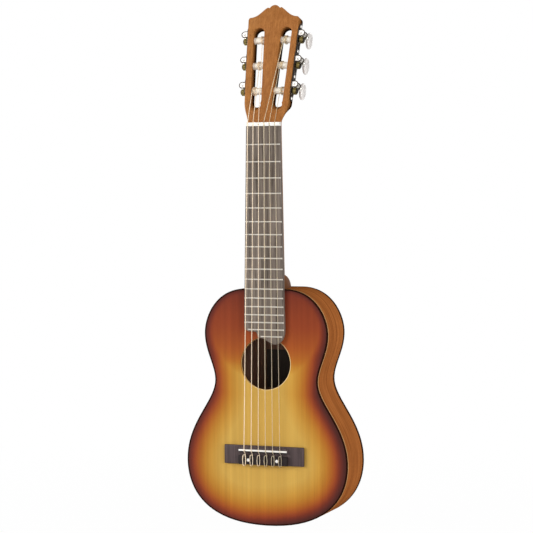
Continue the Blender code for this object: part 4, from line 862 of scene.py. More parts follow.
# %% Inside the body
# The neck block and the upper brace take the darker copy of the inner wood: painted shade.
INNER_FINISHES = {
    "neck_block": SHADED_INSIDE, "soundboard_brace_upper": SHADED_INSIDE, "label": DARK_PAPER,
    "end_block": INNER_WOOD, "soundboard_brace_lower": INNER_WOOD, "back_brace_upper": INNER_WOOD,
    "back_brace_lower": INNER_WOOD, "bridge_plate": INNER_WOOD}
for name, finish in INNER_FINISHES.items():
    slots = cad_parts[name].data.materials
    slots.clear()
    slots.append(finish)
print("inner pieces:", len(INNER_FINISHES))

# %% [markdown]
# ## Neck
#
# The neck has a flat D-shaped section that grows into a heel against the body.
# It is drawn out ring by ring: each new ring is extruded from the last and set to its section.
# The last ring lies in the slanted joint where the headstock is glued on.

# %% Neck
NUT_HALF = 24.0 * MM
NUT_THICKNESS = 5.0 * MM
JOINT_HALF = 27.6 * MM
NECK_DEPTH = 15.2 * MM
NECK_GROWTH = 2.8 * MM
HEEL_LENGTH = 18.5 * MM
HEEL_DEPTH = 66.0 * MM
SIDE_POWER = 1.5
BACK_POWER = 2.0
HEAD_THICKNESS = 16.0 * MM
HEAD_LEAN = math.radians(15.0)
SECTION_STEPS = 36

head_up = Vector((0.0, math.sin(HEAD_LEAN), math.cos(HEAD_LEAN)))
head_back = Vector((0.0, math.cos(HEAD_LEAN), -math.sin(HEAD_LEAN)))


def on_head(x, rise, depth):
    """A point of the headstock: across, up its face and back through it."""
    return Vector((x, 0.0, NUT_THICKNESS)) + head_up * rise + head_back * depth


def board_half(z):
    """Half width of the fingerboard and the neck at a height."""
    return NUT_HALF + (JOINT_HALF - NUT_HALF) * z / BODY_TOP


def section(half, depth, side_power):
    """A D-shaped section from the treble edge round the back to the bass edge."""
    points = []
    for step in range(SECTION_STEPS + 1):
        angle = math.pi * step / SECTION_STEPS
        across = math.copysign(abs(math.cos(angle)) ** (2.0 / side_power), math.cos(angle))
        points.append((half * across, depth * abs(math.sin(angle)) ** (2.0 / BACK_POWER)))
    return points


def lofted(name, rings):
    """A solid drawn out through rings of points."""
    piece = fresh(name, bpy.ops.mesh.primitive_circle_add, vertices=len(rings[0]), fill_type="NGON")
    order = piece.data.attributes.new("order", "INT", "POINT")
    for number, value in enumerate(order.data):
        value.value = number
    bpy.ops.object.mode_set(mode="EDIT")
    for number, ring in enumerate(rings):
        if number:
            bpy.ops.mesh.extrude_region_move()
        bpy.ops.object.mode_set(mode="OBJECT")
        for vertex, value in zip(piece.data.vertices, piece.data.attributes["order"].data):
            if vertex.select:
                vertex.co = ring[value.value]
        bpy.ops.object.mode_set(mode="EDIT")
    bpy.ops.object.mode_set(mode="OBJECT")
    return clean(piece)


heel_foot = BODY_TOP + SEAM
stations = [heel_foot + HEEL_LENGTH * math.sin(math.pi / 2.0 * step / 16.0) for step in range(17)]
handle_end = -2.0 * NUT_THICKNESS
stations += [stations[16] + (handle_end - stations[16]) * step / 6.0 for step in range(1, 7)]
rings = []
for z in stations:
    heel = math.sqrt(1.0 - min(max((z - heel_foot) / HEEL_LENGTH, 0.0), 1.0) ** 2)
    depth = NECK_DEPTH + NECK_GROWTH * z / BODY_TOP
    depth += (HEEL_DEPTH - depth) * heel
    rings.append([Vector((x, y, z)) for x, y in section(board_half(z), depth, SIDE_POWER + 0.5 * heel)])
rings.append([on_head(x, -SEAM, depth) for x, depth in section(NUT_HALF, HEAD_THICKNESS, SIDE_POWER)])
neck = lofted("neck", rings)
hand_over(neck, NECK_WOOD, ["neck"], smooth=32.0)
print("neck faces:", len(neck.data.polygons))

# %% [markdown]
# ## Headstock
#
# The headstock leans back fifteen degrees, so that the strings press on the nut.
# Its outline is sawn with two long slots, and its edges are softly rounded.
# The back of its foot is carved down to the round of the neck: the board is cut into thin
# layers by bisections, and each layer is drawn in a little more than the one before it.
# Three holes run in from each side, through the rail and into the middle rib, for the rollers.
# A slanting cut at the lower end of each slot lets the strings run down into it.
# The sawn walls and sides carry painted shade, which deepens towards the back.

# %% Headstock
RAIL = 8.0 * MM
SLOT_WIDTH = 15.8 * MM
SLOT_RADIUS = SLOT_WIDTH / 2.0
SLOT_LOW, SLOT_HIGH = 23.0 * MM, 133.2 * MM
RAMP = 7.0 * MM
ROLLER_RISES = (45.1 * MM, 80.8 * MM, 116.5 * MM)
ROLLER_RADIUS = 4.75 * MM
ROLLER_REACH = RAIL + SLOT_WIDTH + 5.5 * MM
FOOT_RISE = 26.0 * MM
FOOT_LAYERS = 12
side_lean = math.atan2(5.1, 113.0)


def head_side(rise):
    """Half width of the headstock on its straight side."""
    return 31.1 * MM + (rise - 30.0 * MM) * math.tan(side_lean)


def tuner_place(side, rise):
    """A roller's place: its origin on the headstock's side, then out, along and back."""
    out = ACROSS * side * math.cos(side_lean) - head_up * math.sin(side_lean)
    along = head_up * math.cos(side_lean) + ACROSS * side * math.sin(side_lean)
    return on_head(side * head_side(rise), rise, HEAD_THICKNESS / 2.0), out, along


def slot_middle(rise):
    """How far the middle of a slot lies from the middle of the headstock."""
    return head_side(rise) - (RAIL + SLOT_RADIUS) / math.cos(side_lean)


def mirrored(points):
    """A half outline on the other side of the middle, in the opposite order."""
    return [(-x, rise) for x, rise in reversed(points)]


half_head = [(24.0, 0.0)]
half_head += bend((24.0, 0.0), (24.0, 8.0), (30.47, 16.0), (31.1, 30.0), 14)
half_head += bend((36.2, 143.0), (36.2, 146.0), (35.1, 147.5), (33.0, 147.5), 6)
half_head = half_head[:15] + [(36.2, 143.0)] + half_head[15:]
half_head += bend((33.0, 147.5), (21.9, 148.3), (17.0, 157.3), (9.9, 161.2), 16)
half_head.append((7.0, 160.4))
half_head += bend((7.0, 160.4), (6.0, 162.5), (3.1, 164.6), (0.0, 164.6), 8)
head_loop = [(x * MM, rise * MM) for x, rise in half_head]
head_loop += mirrored(head_loop)[1:]

slots = []
for side in (1, -1):
    turn = 90.0 - math.degrees(side_lean)
    low, high = SLOT_LOW + SLOT_RADIUS, SLOT_HIGH - SLOT_RADIUS
    loop = arc((slot_middle(high), high), SLOT_RADIUS, turn - 90.0, turn + 90.0, 20)
    loop += arc((slot_middle(low), low), SLOT_RADIUS, turn + 90.0, turn + 270.0, 20)
    slots.append([(side * x, rise) for x, rise in loop])

headstock = sawn("headstock", [head_loop] + slots, HEAD_THICKNESS)
rounded(headstock, 1.0 * MM, 3)
bisected(headstock, [(UPWARD * HEAD_THICKNESS * (layer / FOOT_LAYERS - 0.5), UPWARD)
                     for layer in range(1, FOOT_LAYERS)])
for vertex in headstock.data.vertices:
    sine = min(max(0.5 - vertex.co.z / HEAD_THICKNESS, 0.0), 1.0) ** (BACK_POWER / 2.0)
    width = math.sqrt(1.0 - sine * sine) ** (2.0 / SIDE_POWER)
    vertex.co.x *= 1.0 - max(1.0 - vertex.co.y / FOOT_RISE, 0.0) ** 1.4 * (1.0 - width)
clean(headstock)
put(headstock, axes(on_head(0.0, 0.0, HEAD_THICKNESS / 2.0), -head_back, ACROSS))
for side in (1, -1):
    for rise in ROLLER_RISES:
        origin, out, along = tuner_place(side, rise)
        cut(headstock, drilled(ROLLER_RADIUS + 0.25 * MM, origin - out * ROLLER_REACH, out,
                               ROLLER_REACH + 6.0 * MM, 40, along))
    ramp = fresh("ramp", bpy.ops.mesh.primitive_cylinder_add, vertices=40, radius=SLOT_RADIUS - 0.3 * MM,
                 depth=RAMP + 0.6 * MM)
    low = SLOT_LOW + SLOT_RADIUS
    put(ramp, Matrix.Translation((0.0, 0.0, RAMP / 2.0 + 0.3 * MM)))
    for vertex in ramp.data.vertices:
        vertex.co.y -= vertex.co.z
    put(ramp, axes(on_head(side * slot_middle(low), low, RAMP), -head_back, ACROSS))
    cut(headstock, ramp)
hand_over(clean(headstock), HEAD_WOOD, ["headstock"], smooth=30.0)
face_depth = head_back.dot(on_head(0.0, 0.0, 0.0))
# Painted shade: the sawn walls and sides darken from just behind the face to almost black at the back.
SHADED_EDGE_WOOD = wood("sawn_mahogany_shade", HEAD_TONES, 0.6, 0.0, streaks=420.0,
                 stain_and_shade=((0.045, 0.03, 0.03, 1.0), head_back, face_depth + 1.0 * MM, face_depth + 12.0 * MM))
second_finish(headstock, SHADED_EDGE_WOOD, lambda face: abs(face.normal.dot(head_back)) < 0.85)
print("headstock faces:", len(headstock.data.polygons))

# %% [markdown]
# ## Fingerboard and frets
#
# Eighteen frets divide the scale in equal temperament: each stands at a fixed share of the
# string that is left. The board's lower end steps and curves over the edge of the sound hole.
# One fret is a half-round wire; its ends are filed back, and each fret is as long as the board
# is wide there.

# %% Fingerboard and frets
BOARD_THICKNESS = 5.5 * MM
BOARD_FACE = BOARD_THICKNESS + SEAM
FRET_COUNT = 18
FRET_WIDTH = 2.0 * MM
FRET_HEIGHT = 1.0 * MM
LOBE_END = 15.3 * MM


def fret_z(number):
    """Height of a fret, counted from the nut."""
    return -SCALE_LENGTH * (1.0 - 2.0 ** (-number / 12.0))


shelf = fret_z(17) - 2.6 * MM
lobe = fret_z(18) - 2.1 * MM
tip = fret_z(18) - 10.3 * MM
corner = shelf + 7.5 * MM
rise = fret_z(18) + 7.5 * MM
bass, treble = -board_half(corner), board_half(rise)
board_loop = [(NUT_HALF, 0.0), (-NUT_HALF, 0.0), (bass, corner)]
board_loop += bend((bass, corner), (bass, corner - 4.5 * MM), (bass + 4.5 * MM, shelf),
                   (bass + 7.5 * MM, shelf), 8)
board_loop.append((-13.5 * MM, shelf))
board_loop += bend((-13.5 * MM, shelf), (-8.55 * MM, shelf), (-11.25 * MM, lobe), (-4.5 * MM, lobe), 14)
board_loop += bend((-4.5 * MM, lobe), (2.03 * MM, lobe), (7.97 * MM, tip), (LOBE_END, tip), 12)
board_loop += bend((LOBE_END, tip), (LOBE_END + (treble - LOBE_END) * 0.55, tip),
                   (treble, tip + (rise - tip) * 0.45), (treble, rise), 14)
board = sawn("fingerboard", [board_loop], BOARD_THICKNESS)
put(board, against_face(-SEAM - BOARD_THICKNESS / 2.0))
hand_over(rounded(board, 0.5 * MM, 2), BOARD_WOOD, ["fingerboard"])

crown = arc((0.0, 0.0), 1.0, 0.0, 180.0, 12)
for number in range(1, FRET_COUNT + 1):
    right = board_half(fret_z(number)) - 0.2 * MM
    left = -right
    if number == FRET_COUNT - 1:
        left += 4.5 * MM
    if number == FRET_COUNT:
        left, right = -5.5 * MM, right - 2.6 * MM
    loop = [(FRET_WIDTH / 2.0 * x, FRET_HEIGHT * y) for x, y in crown]
    fret = sawn(f"fret_{number}", [loop], right - left)
    for vertex in fret.data.vertices:
        vertex.co.z -= math.copysign(vertex.co.y * 0.7, vertex.co.z)
    put(fret, axes(Vector(((left + right) / 2.0, -BOARD_FACE, fret_z(number))), ACROSS, UPWARD))
    hand_over(fret, FRET_METAL, smooth=50.0)
print("frets:", FRET_COUNT)

# %% [markdown]
# ## Nut, saddle and bridge
#
# The nut spaces the strings with six slots, and the saddle carries them over the bridge.
# The bridge has flat wings, a ridge that holds the saddle, a groove, and a block with six holes.
# Two bolts hold it through the soundboard; only their domed white caps show.

# %% Nut, saddle and bridge
STRINGS = (0.71 * MM, 0.82 * MM, 1.02 * MM, 0.74 * MM, 0.89 * MM, 1.09 * MM)
NUT_SPACING = 7.68 * MM
SADDLE_SPACING = 10.24 * MM
NUT_SHIFT = 1.4 * MM
SADDLE_SHIFT = 2.4 * MM
BRIDGE_SHIFT = 2.1 * MM
NUT_HEIGHT = 7.8 * MM
SADDLE_HEIGHT = 9.4 * MM
SADDLE_HALF = 1.25 * MM
BRIDGE_END = 19.4 * MM
BLOCK_HALF = 35.0 * MM
BLOCK_START = 7.0 * MM
BLOCK_END = 19.0 * MM
BLOCK_TOP = 8.6 * MM
STRING_HOLE = 4.6 * MM


def string_x(number, spacing, shift):
    """How far a string lies from the middle."""
    return -shift + spacing * (3.5 - number)


nut_loop = [(-NUT_HALF, SEAM), (-NUT_HALF, NUT_HEIGHT)]
for number in range(6, 0, -1):
    gap = STRINGS[number - 1] / 2.0 + 0.15 * MM
    x = string_x(number, NUT_SPACING, NUT_SHIFT)
    nut_loop += [(x + gap * math.cos(a), NUT_HEIGHT - 0.6 * MM * math.sin(a))
                 for a in (math.pi - math.pi * step / 6.0 for step in range(7))]
nut_loop += [(NUT_HALF, NUT_HEIGHT), (NUT_HALF, SEAM)]
nut = sawn("nut", [nut_loop], NUT_THICKNESS - 2.0 * SEAM)
rounded(nut, 0.3 * MM, 2)
put(nut, axes(Vector((0.0, 0.0, NUT_THICKNESS / 2.0)), -UPWARD, ACROSS))
hand_over(nut, BONE, ["nut"])

saddle_loop = [(-SADDLE_HALF, 3.0 * MM), (SADDLE_HALF, 3.0 * MM)]
saddle_loop += arc((0.0, SADDLE_HEIGHT - SADDLE_HALF), SADDLE_HALF, 0.0, 180.0, 12)
saddle = sawn("saddle", [saddle_loop], 68.0 * MM)
rounded(saddle, 0.4 * MM, 2)
put(saddle, axes(Vector((-BRIDGE_SHIFT, 0.0, -SCALE_LENGTH)), ACROSS, UPWARD))
hand_over(saddle, BONE, ["saddle"])


def on_bridge(x, down, height):
    """A point on the bridge: across, down from the saddle and out of the face."""
    return Vector((x, -height, -SCALE_LENGTH - down))


def bridge_block(name, half, up, down, low, high):
    """A block on the bridge."""
    centre = on_bridge(-BRIDGE_SHIFT, (down - up) / 2.0, (low + high) / 2.0)
    return block(name, (2.0 * half, high - low, up + down), centre)


bridge = bridge_block("bridge", 56.9 * MM, 6.2 * MM, BRIDGE_END, SEAM, 4.0 * MM)
rounded(bridge, 1.4 * MM, 4)
ridge = bridge_block("ridge", BLOCK_HALF, 4.2 * MM, 3.0 * MM, 2.0 * MM, 6.4 * MM)
cut(bridge, rounded(ridge, 0.8 * MM, 3), "UNION")
tie_block = bridge_block("tie_block", BLOCK_HALF, -BLOCK_START, BLOCK_END, 2.0 * MM, BLOCK_TOP)
cut(bridge, rounded(tie_block, 0.7 * MM, 3), "UNION")
cut(bridge, bridge_block("saddle_slot", 34.05 * MM, 1.3 * MM, 1.3 * MM, 2.8 * MM, 12.0 * MM))
for number in range(1, 7):
    x = string_x(number, SADDLE_SPACING, SADDLE_SHIFT)
    cut(bridge, drilled(1.1 * MM, on_bridge(x, 6.0 * MM, STRING_HOLE), -UPWARD, 20.0 * MM))
bolt_spots = [(-SADDLE_SHIFT + side * 2.0 * SADDLE_SPACING, 13.0 * MM) for side in (-1, 1)]
for x, down in bolt_spots:
    cut(bridge, drilled(2.45 * MM, on_bridge(x, down, 4.4 * MM), -INWARD, 8.0 * MM, 32))
    cut(bridge, drilled(1.8 * MM, on_bridge(x, down, -1.0 * MM), -INWARD, 8.0 * MM, 24))
hand_over(clean(bridge), BRIDGE_WOOD, ["bridge"], smooth=30.0)


def on_tie_block(face):
    """Whether all corners of a face lie on the tie block or in its groove."""
    corners = [bridge.data.vertices[index].co for index in face.vertices]
    return all(abs(co.x + BRIDGE_SHIFT) < BLOCK_HALF + 0.4 * MM and co.z < -SCALE_LENGTH - 1.0 * MM
               for co in corners)


# The tie block takes the darker tone; in the groove before it the same tone is painted shade.
second_finish(bridge, TIE_WOOD_AND_GROOVE_SHADE, on_tie_block)


def turned(name, profile, steps):
    """A round piece turned about Z from its half profile."""
    piece = fresh(name, bpy.ops.mesh.primitive_circle_add, vertices=len(profile))
    for vertex, (radius, level) in zip(piece.data.vertices, profile):
        vertex.co = (radius, 0.0, level)
    modified(piece, "SCREW", steps=steps, render_steps=steps, use_merge_vertices=True,
             merge_threshold=0.001 * MM)
    return clean(piece)


BOLT_TOP = 8.7 * MM
for name, (x, down) in zip(("bridge_bolt_left", "bridge_bolt_right"), bolt_spots):
    dome = [(2.3 * MM * math.cos(a), BOLT_TOP - 0.7 * MM + 0.7 * MM * math.sin(a))
            for a in (math.pi / 2.0 * step / 6.0 for step in range(7))]
    profile = [(0.0, -8.2 * MM), (1.5 * MM, -8.2 * MM), (1.5 * MM, 4.7 * MM), (2.3 * MM, 4.7 * MM)] + dome
    bolt = turned(name, profile, 28)
    put(bolt, axes(Vector((x, 0.0, -SCALE_LENGTH - down)), -INWARD, ACROSS))
    hand_over(bolt, BONE, [name])
print("bridge faces:", len(bridge.data.polygons))

# %% [markdown]
# ## Strings
#
# Each string runs from its roller over the nut and the saddle, down into its hole, and comes
# back round the tie block in a loop that crosses over itself.
# A string bends in round curves, never in corners, so the route is eased at every turn.
# The three treble strings are clear nylon and the three bass strings are wound.

# %% Strings
WINDING_POINTS = 16
ROLLER_TARGETS = (17.5 * MM, 14.0 * MM, 16.2 * MM, -14.6 * MM, -15.5 * MM, -22.4 * MM)
WINDING_WAYS = (1, 1, 1, -1, -1, 1)
WINDING_TURNS = 2.5
WINDING_GAP = 0.5 * MM


def eased(route, reach, steps=6):
    """A route with round turns in place of its corners."""
    points = [route[0]]
    for before, at, after in zip(route, route[1:], route[2:]):
        first = at + (before - at).normalized() * min(reach, (before - at).length * 0.5)
        last = at + (after - at).normalized() * min(reach, (after - at).length * 0.5)
        for step in range(steps + 1):
            t = step / steps
            points.append(first * (1 - t) ** 2 + at * 2 * t * (1 - t) + last * t * t)
    return points + [route[-1]]


def cord_mesh(name, points, radius):
    """A round cord through points, closed at both ends."""
    line = drawing(bpy.ops.curve.primitive_bezier_curve_add, [points], False)
    line.dimensions = "3D"
    line.bevel_depth = radius
    line.bevel_resolution = 3
    line.use_fill_caps = True
    bpy.ops.object.convert(target="MESH")
    return clean(named(name))


def machine_place(number):
    """The side that a string's machine is on, and its roller's place."""
    side = 1 if number <= 3 else -1
    return side, *tuner_place(side, ROLLER_RISES[number - 1 if side == 1 else 6 - number])


def roller_contact(number):
    """Where a string leaves the nut, where it meets its roller, and the centre of its turns."""
    radius = STRINGS[number - 1] / 2.0
    side, origin, out, along = machine_place(number)
    start = Vector((string_x(number, NUT_SPACING, NUT_SHIFT), -(NUT_HEIGHT - 0.3 * MM + radius),
                    NUT_THICKNESS + radius))
    centre = origin + out * ((ROLLER_TARGETS[number - 1] - origin.x) / out.x)
    wound = (ROLLER_RADIUS + 0.3 * MM + radius) / math.cos(math.pi / WINDING_POINTS)
    u, n = (start - centre).dot(along), (start - centre).dot(head_back)
    square = u * u + n * n
    lean, swing = wound * wound / square, wound * math.sqrt(square - wound * wound) / square
    touches = ((lean * u - swing * n, lean * n + swing * u), (lean * u + swing * n, lean * n - swing * u))
    touch = min(touches, key=lambda pair: pair[1])
    return start, centre, wound, touch, out * side, along


for number in range(1, 7):
    diameter = STRINGS[number - 1]
    radius = diameter / 2.0
    start, centre, wound, touch, across, along = roller_contact(number)
    contact = centre + along * touch[0] + head_back * touch[1]
    run = (start - contact).normalized()
    x = string_x(number, SADDLE_SPACING, SADDLE_SHIFT)
    over = SADDLE_HEIGHT + 0.3 * MM + radius
    top = 9.2 * MM + radius
    bulge = 1.7 * MM + radius
    corner = 0.8 * radius + 0.3 * MM
    cross = over - (over - STRING_HOLE) * 0.72 + diameter + 0.6 * MM
    beyond = BRIDGE_END + 0.3 * MM
    route = [contact + run * (diameter + 0.3 * MM), start]
    route += [on_bridge(x + aside, down, height) for aside, down, height in (
        (0.0, SADDLE_HALF, over), (0.0, 5.8 * MM, STRING_HOLE), (0.0, BRIDGE_END + radius, STRING_HOLE),
        (-bulge * 0.4, beyond + 2.2 * radius, STRING_HOLE + 1.5 * radius),
        (-bulge * 0.6, beyond + 2.0 * radius, BLOCK_TOP - radius),
        (-bulge * 0.75, BRIDGE_END - radius, top), (-bulge, 13.2 * MM, top),
        (-bulge * 0.8, BLOCK_START + radius, top), (-bulge * 0.6, BLOCK_START - corner, BLOCK_TOP + corner),
        (0.0, 6.7 * MM - 2.4 * radius, cross), (bulge * 0.6, BLOCK_START - corner, BLOCK_TOP + corner),
        (bulge * 0.8, BLOCK_START + radius, top), (bulge, 13.2 * MM, top),
        (bulge * 0.75, BRIDGE_END - radius, top))]
    finish = NYLON if number <= 3 else WOUND
    string = cord_mesh(f"string_{number}", eased(route, 0.9 * MM), radius)
    hand_over(string, finish, [f"string_{number}"], smooth=60.0)

    across = across * WINDING_WAYS[number - 1]
    angle = math.atan2(touch[0], -touch[1])
    points = [contact + run * diameter]
    fine = WINDING_POINTS * 2
    count = round(WINDING_TURNS * fine)
    for step in range(count + 1):
        turn = angle + 2.0 * math.pi * step / fine
        ring = along * math.sin(turn) - head_back * math.cos(turn)
        points.append(centre + ring * wound + across * (diameter + WINDING_GAP) * step / fine)
    winding = cord_mesh(f"string_{number}_winding", points, radius)
    hand_over(winding, finish, [f"string_{number}_winding"], body=f"roller_{number}", smooth=60.0)
print("strings and windings: 12")

# %% [markdown]
# ## Tuning machines
#
# A worm on each key's shaft drives a brass gear, and fourteen turns of the key turn the roller
# once. The gear cannot push the worm back, which is how a string stays in tune.
# One machine is modelled about its own axes and copied to its six places.

# %% Rollers and gears
GEAR_TEETH = 14
SPINDLE_BORE = 2.45 * MM
WORM_PITCH = 2.0 * MM
WORM_RADIUS = 3.5 * MM
TOOTH = 0.9 * MM
GEAR_THICKNESS = 4.2 * MM
PLATE_FACE = 1.3 * MM
worm_rise = GEAR_TEETH * WORM_PITCH / (2.0 * math.pi) + WORM_RADIUS - TOOTH / 2.0 + 0.15 * MM
gear_tip = worm_rise - (WORM_RADIUS - TOOTH) - 0.3 * MM
worm_out = PLATE_FACE + WORM_RADIUS + 0.3 * MM
GEAR_FACE = worm_out + GEAR_THICKNESS / 2.0

sleeve = turned("tuner_roller", [
    (SPINDLE_BORE, -0.05 * MM), (ROLLER_RADIUS - 0.4 * MM, -0.05 * MM), (ROLLER_RADIUS, -0.5 * MM),
    (ROLLER_RADIUS, -ROLLER_REACH + 0.5 * MM), (ROLLER_RADIUS - 0.4 * MM, -ROLLER_REACH),
    (SPINDLE_BORE, -ROLLER_REACH)], 40)
spindle = turned("roller_spindle", [
    (0.0, -ROLLER_REACH), (2.4 * MM, -ROLLER_REACH), (2.4 * MM, GEAR_FACE + 0.1 * MM),
    (3.6 * MM, GEAR_FACE + 0.1 * MM), (3.6 * MM, GEAR_FACE + 0.5 * MM), (3.0 * MM, GEAR_FACE + 1.2 * MM),
    (1.6 * MM, GEAR_FACE + 1.5 * MM), (0.0, GEAR_FACE + 1.5 * MM)], 32)
cut(spindle, block("screw_slot", (9.0 * MM, 0.8 * MM, 1.2 * MM), (0.0, 0.0, GEAR_FACE + 1.5 * MM)))

rim_loop = []
root_radius = gear_tip - TOOTH
for tooth in range(GEAR_TEETH):
    middle = 2.0 * math.pi * tooth / GEAR_TEETH
    for offset, reach in ((-0.45, 0.0), (-0.33, 0.55), (-0.2, 1.0), (0.2, 1.0), (0.33, 0.55), (0.45, 0.0)):
        radius = root_radius + TOOTH * reach
        angle = middle + offset * MM / radius
        rim_loop.append((radius * math.cos(angle), radius * math.sin(angle)))
gear = sawn("tuner_gear", [rim_loop, circle((0.0, 0.0), SPINDLE_BORE, 32)], GEAR_THICKNESS)
rounded(gear, 0.12 * MM, 1)
put(gear, Matrix.Translation((0.0, 0.0, worm_out)))
print("gear tip radius:", round(gear_tip / MM, 2), "mm")

# %% [markdown]
# The worm is a trapezoid thread swept up its shaft with the Screw modifier, so its pitch is
# exact. It is trimmed square at both ends, and the shaft with its collar goes through it.
# The button is a flattened ball: its sides are squeezed until it is a soft oval tablet.

# %% Worms and buttons
WORM_LENGTH = 8.4 * MM
THREAD_TURNS = 3
SHAFT_RADIUS = 1.25 * MM
COLLAR_RADIUS = 4.0 * MM
BUTTON_LENGTH = 17.0 * MM
BUTTON_HALF = 11.5 * MM
BUTTON_SIDE = 3.6 * MM
BUTTON_BORE = 7.5 * MM

foot = WORM_RADIUS - TOOTH
thread = fresh("tuner_worm", bpy.ops.mesh.primitive_grid_add, x_subdivisions=5, y_subdivisions=1, size=2.0)
profile = [(foot, 1.0), (foot, 0.75), (WORM_RADIUS, 0.58), (WORM_RADIUS, 0.42), (foot, 0.25), (foot, 0.0)]
with editing(thread):
    bpy.ops.mesh.delete(type="ONLY_FACE")
    bpy.ops.mesh.select_all(action="DESELECT")
for vertex in thread.data.vertices:
    vertex.select = vertex.co.y > 0.0
bpy.ops.object.mode_set(mode="EDIT")
bpy.ops.mesh.delete(type="VERT")
bpy.ops.object.mode_set(mode="OBJECT")
for vertex, (radius, share) in zip(sorted(thread.data.vertices, key=lambda v: v.co.x), profile):
    vertex.co = (radius, 0.0, share * WORM_PITCH)
modified(thread, "SCREW", steps=28, render_steps=28, screw_offset=WORM_PITCH, iterations=2 * THREAD_TURNS,
         use_merge_vertices=True, merge_threshold=WELD)
put(thread, Matrix.Translation((0.0, 0.0, -THREAD_TURNS * WORM_PITCH)))
ends = [((0.0, 0.0, sign * WORM_LENGTH / 2.0), (0.0, 0.0, sign)) for sign in (-1.0, 1.0)]
clean(bisected(thread, ends, clear_outer=True, use_fill=True))

lug_end = WORM_LENGTH / 2.0 + 1.5 * MM
button_middle = HEAD_THICKNESS / 2.0 + 19.0 * MM
button_front = button_middle - BUTTON_LENGTH / 2.0
collar = HEAD_THICKNESS / 2.0 + 2.0 * MM
shaft = turned("tuner_shaft", [
    (0.0, -lug_end - 0.9 * MM), (0.9 * MM, -lug_end - 0.9 * MM), (SHAFT_RADIUS, -lug_end - 0.6 * MM),
    (SHAFT_RADIUS, collar), (3.5 * MM, collar), (COLLAR_RADIUS, collar + 0.5 * MM),
    (COLLAR_RADIUS, collar + 2.9 * MM), (3.2 * MM, collar + 3.6 * MM), (SHAFT_RADIUS, collar + 3.6 * MM),
    (SHAFT_RADIUS, button_front + BUTTON_BORE), (0.0, button_front + BUTTON_BORE)], 24)
worm = joined("tuner_worm", [thread, shaft])

button = fresh("tuner_button", bpy.ops.mesh.primitive_uv_sphere_add, segments=48, ring_count=28, radius=1.0)
for vertex in button.data.vertices:
    x, y, z = vertex.co
    vertex.co = (math.copysign(abs(x) ** 0.94, x) * BUTTON_HALF,
                 math.copysign(abs(y) ** 0.75, y) * BUTTON_SIDE, z * BUTTON_LENGTH / 2.0)
cut(button, drilled(1.4 * MM, -UPWARD * BUTTON_LENGTH, UPWARD, BUTTON_LENGTH / 2.0 + BUTTON_BORE + 0.3 * MM))
clean(button)

for number in range(1, 7):
    side, origin, out, along = machine_place(number)
    at_roller = axes(origin, out, along)
    axis = origin + along * worm_rise + out * worm_out
    at_worm = axes(axis, head_back, -along)
    at_button = axes(axis + head_back * button_middle, head_back, along)
    for pattern, name, place, finish, body, smooth in (
            (sleeve, "tuner_roller", at_roller, CREAM, "roller", 38.0),
            (spindle, "roller_spindle", at_roller, DARK_STEEL, "roller", 38.0),
            (gear, "tuner_gear", at_roller, BRASS, "roller", 25.0),
            (worm, "tuner_worm", at_worm, NICKEL, "key", 30.0),
            (button, "tuner_button", at_button, PEARL, "key", 60.0)):
        title = f"{name}_{number}"
        nodes = [] if pattern == spindle else [title]
        hand_over(copied(pattern, title, place), finish, nodes, f"{body}_{number}", smooth)
for pattern in (sleeve, spindle, gear, worm, button):
    bpy.data.objects.remove(pattern)
print("machines: 6")

# %% [markdown]
# ## Side plates
#
# Each side of the headstock carries one long plate for its three machines.
# Tabs stand up from the plate on both sides of every worm, and the worm's shaft turns in them.
# Each tab is stamped, and its middle stands proud of its rim: the dark rim is painted shade round the tab's
# edge, and the bright middle a painted highlight.
# Four domed screws hold the plate.

# %% Side plates
SCREW_RISES = (35.0 * MM, 65.3 * MM, 100.4 * MM, 134.9 * MM)
PLATE_OUT = 0.3 * MM
PLATE_SHEET = 1.0 * MM
LUG_WALL = 3.0 * MM
LUG_SHEET = 1.2 * MM
LUG_SHADE_RIM = 1.4 * MM
PLATE_HALF = 7.0 * MM
PLATE_END = 4.2 * MM
stretch = 1.0 / math.cos(side_lean)


def waist(rise):
    """Half width of the plate between its machines."""
    share = (rise - SCREW_RISES[0]) / (SCREW_RISES[-1] - SCREW_RISES[0])
    return (5.4 + 0.6 * math.sin(math.pi * share)) * MM


lug_half = SHAFT_RADIUS + 0.3 * MM + LUG_WALL
lug_crown = (0.8 * MM, worm_out + 0.5 * MM)
plate_end = arc((0.0, 0.0), PLATE_END, 180.0, 90.0, 6)
plate_edge = [(SCREW_RISES[0] + u, v) for u, v in plate_end]
for rise in ROLLER_RISES:
    start, end = rise - gear_tip, rise + worm_rise + lug_crown[0] + lug_half + 1.0 * MM
    plate_edge += [(start, waist(start)), (start + 2.3 * MM, PLATE_HALF), (end, PLATE_HALF),
                   (end + 2.3 * MM, waist(end))]
plate_edge += [(SCREW_RISES[-1] - u, v) for u, v in reversed(plate_end)]
plate_line = eased([Vector((u, v, 0.0)) for u, v in plate_edge], 1.6 * MM, 4)
plate_loop = [(p.x, p.y) for p in plate_line] + [(p.x, -p.y) for p in plate_line[-2:0:-1]]

screw_head = turned("plate_screw", [
    (0.0, -5.5 * MM), (0.9 * MM, -5.5 * MM), (0.9 * MM, PLATE_FACE - 0.8 * MM),
    (2.1 * MM, PLATE_FACE + 0.02 * MM),
    (2.1 * MM, PLATE_FACE + 0.35 * MM), (1.6 * MM, PLATE_FACE + 0.95 * MM), (0.9 * MM, PLATE_FACE + 1.2 * MM),
    (0.0, PLATE_FACE + 1.28 * MM)], 24)


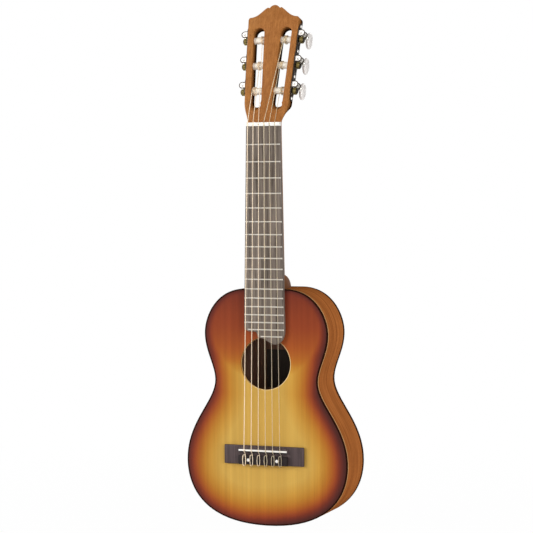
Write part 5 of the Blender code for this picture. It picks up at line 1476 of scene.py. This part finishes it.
def lug_sheet(half, sheet):
    """A tab with a round end and a hole for the worm's shaft."""
    loop = [(lug_crown[0] - half, PLATE_OUT + 0.5 * MM), (lug_crown[0] + half, PLATE_OUT + 0.5 * MM)]
    loop += arc(lug_crown, half, 0.0, 180.0, 24)
    return rounded(sawn("lug", [loop, circle((0.0, worm_out), 1.4 * MM, 24)], sheet), 0.15 * MM, 1)


# The tab's dark rim is painted shade round its edge, and its bright face is a painted highlight.
lug_shaded_rim = lug_sheet(lug_half, LUG_SHEET - 0.3 * MM)
lug_highlight = lug_sheet(lug_half - LUG_SHADE_RIM, LUG_SHEET)

for name, side in (("tuner_plate_right", 1), ("tuner_plate_left", -1)):
    holes = [circle((rise * stretch, 0.0), 2.6 * MM, 28) for rise in ROLLER_RISES]
    outline = [(u * stretch, v) for u, v in plate_loop]
    sheet_metal = sawn("sheet_metal", [outline] + holes, PLATE_SHEET)
    rounded(sheet_metal, 0.2 * MM, 2)
    origin, out, along = tuner_place(side, ROLLER_RISES[1])
    foot_point = origin - along * ROLLER_RISES[1] * stretch + out * (PLATE_OUT + PLATE_SHEET / 2.0)
    put(sheet_metal, axes(foot_point, out, along))
    parts, faces = [sheet_metal], []
    for rise in ROLLER_RISES:
        spot = tuner_place(side, rise)[0] + along * worm_rise
        for sign in (-1.0, 1.0):
            centre = spot + head_back * sign * (WORM_LENGTH / 2.0 + 0.3 * MM + LUG_SHEET / 2.0)
            seat = axes(centre, along.cross(out), along)
            parts.append(copied(lug_shaded_rim, "lug_shaded_rim", seat))
            faces.append(copied(lug_highlight, f"{name}_tab_{len(faces) + 1}", seat))
    hand_over(joined(name, parts), PLATE_METAL, [name])
    # The tabs' bright faces are a painted highlight.
    for tab in faces:
        hand_over(tab, SCREW_METAL)
    for number, rise in enumerate(SCREW_RISES, 1):
        hand_over(copied(screw_head, f"{name}_screw_{number}", axes(*tuner_place(side, rise))), SCREW_METAL)
for pattern in (screw_head, lug_shaded_rim, lug_highlight):
    bpy.data.objects.remove(pattern)
print("plates: 2")
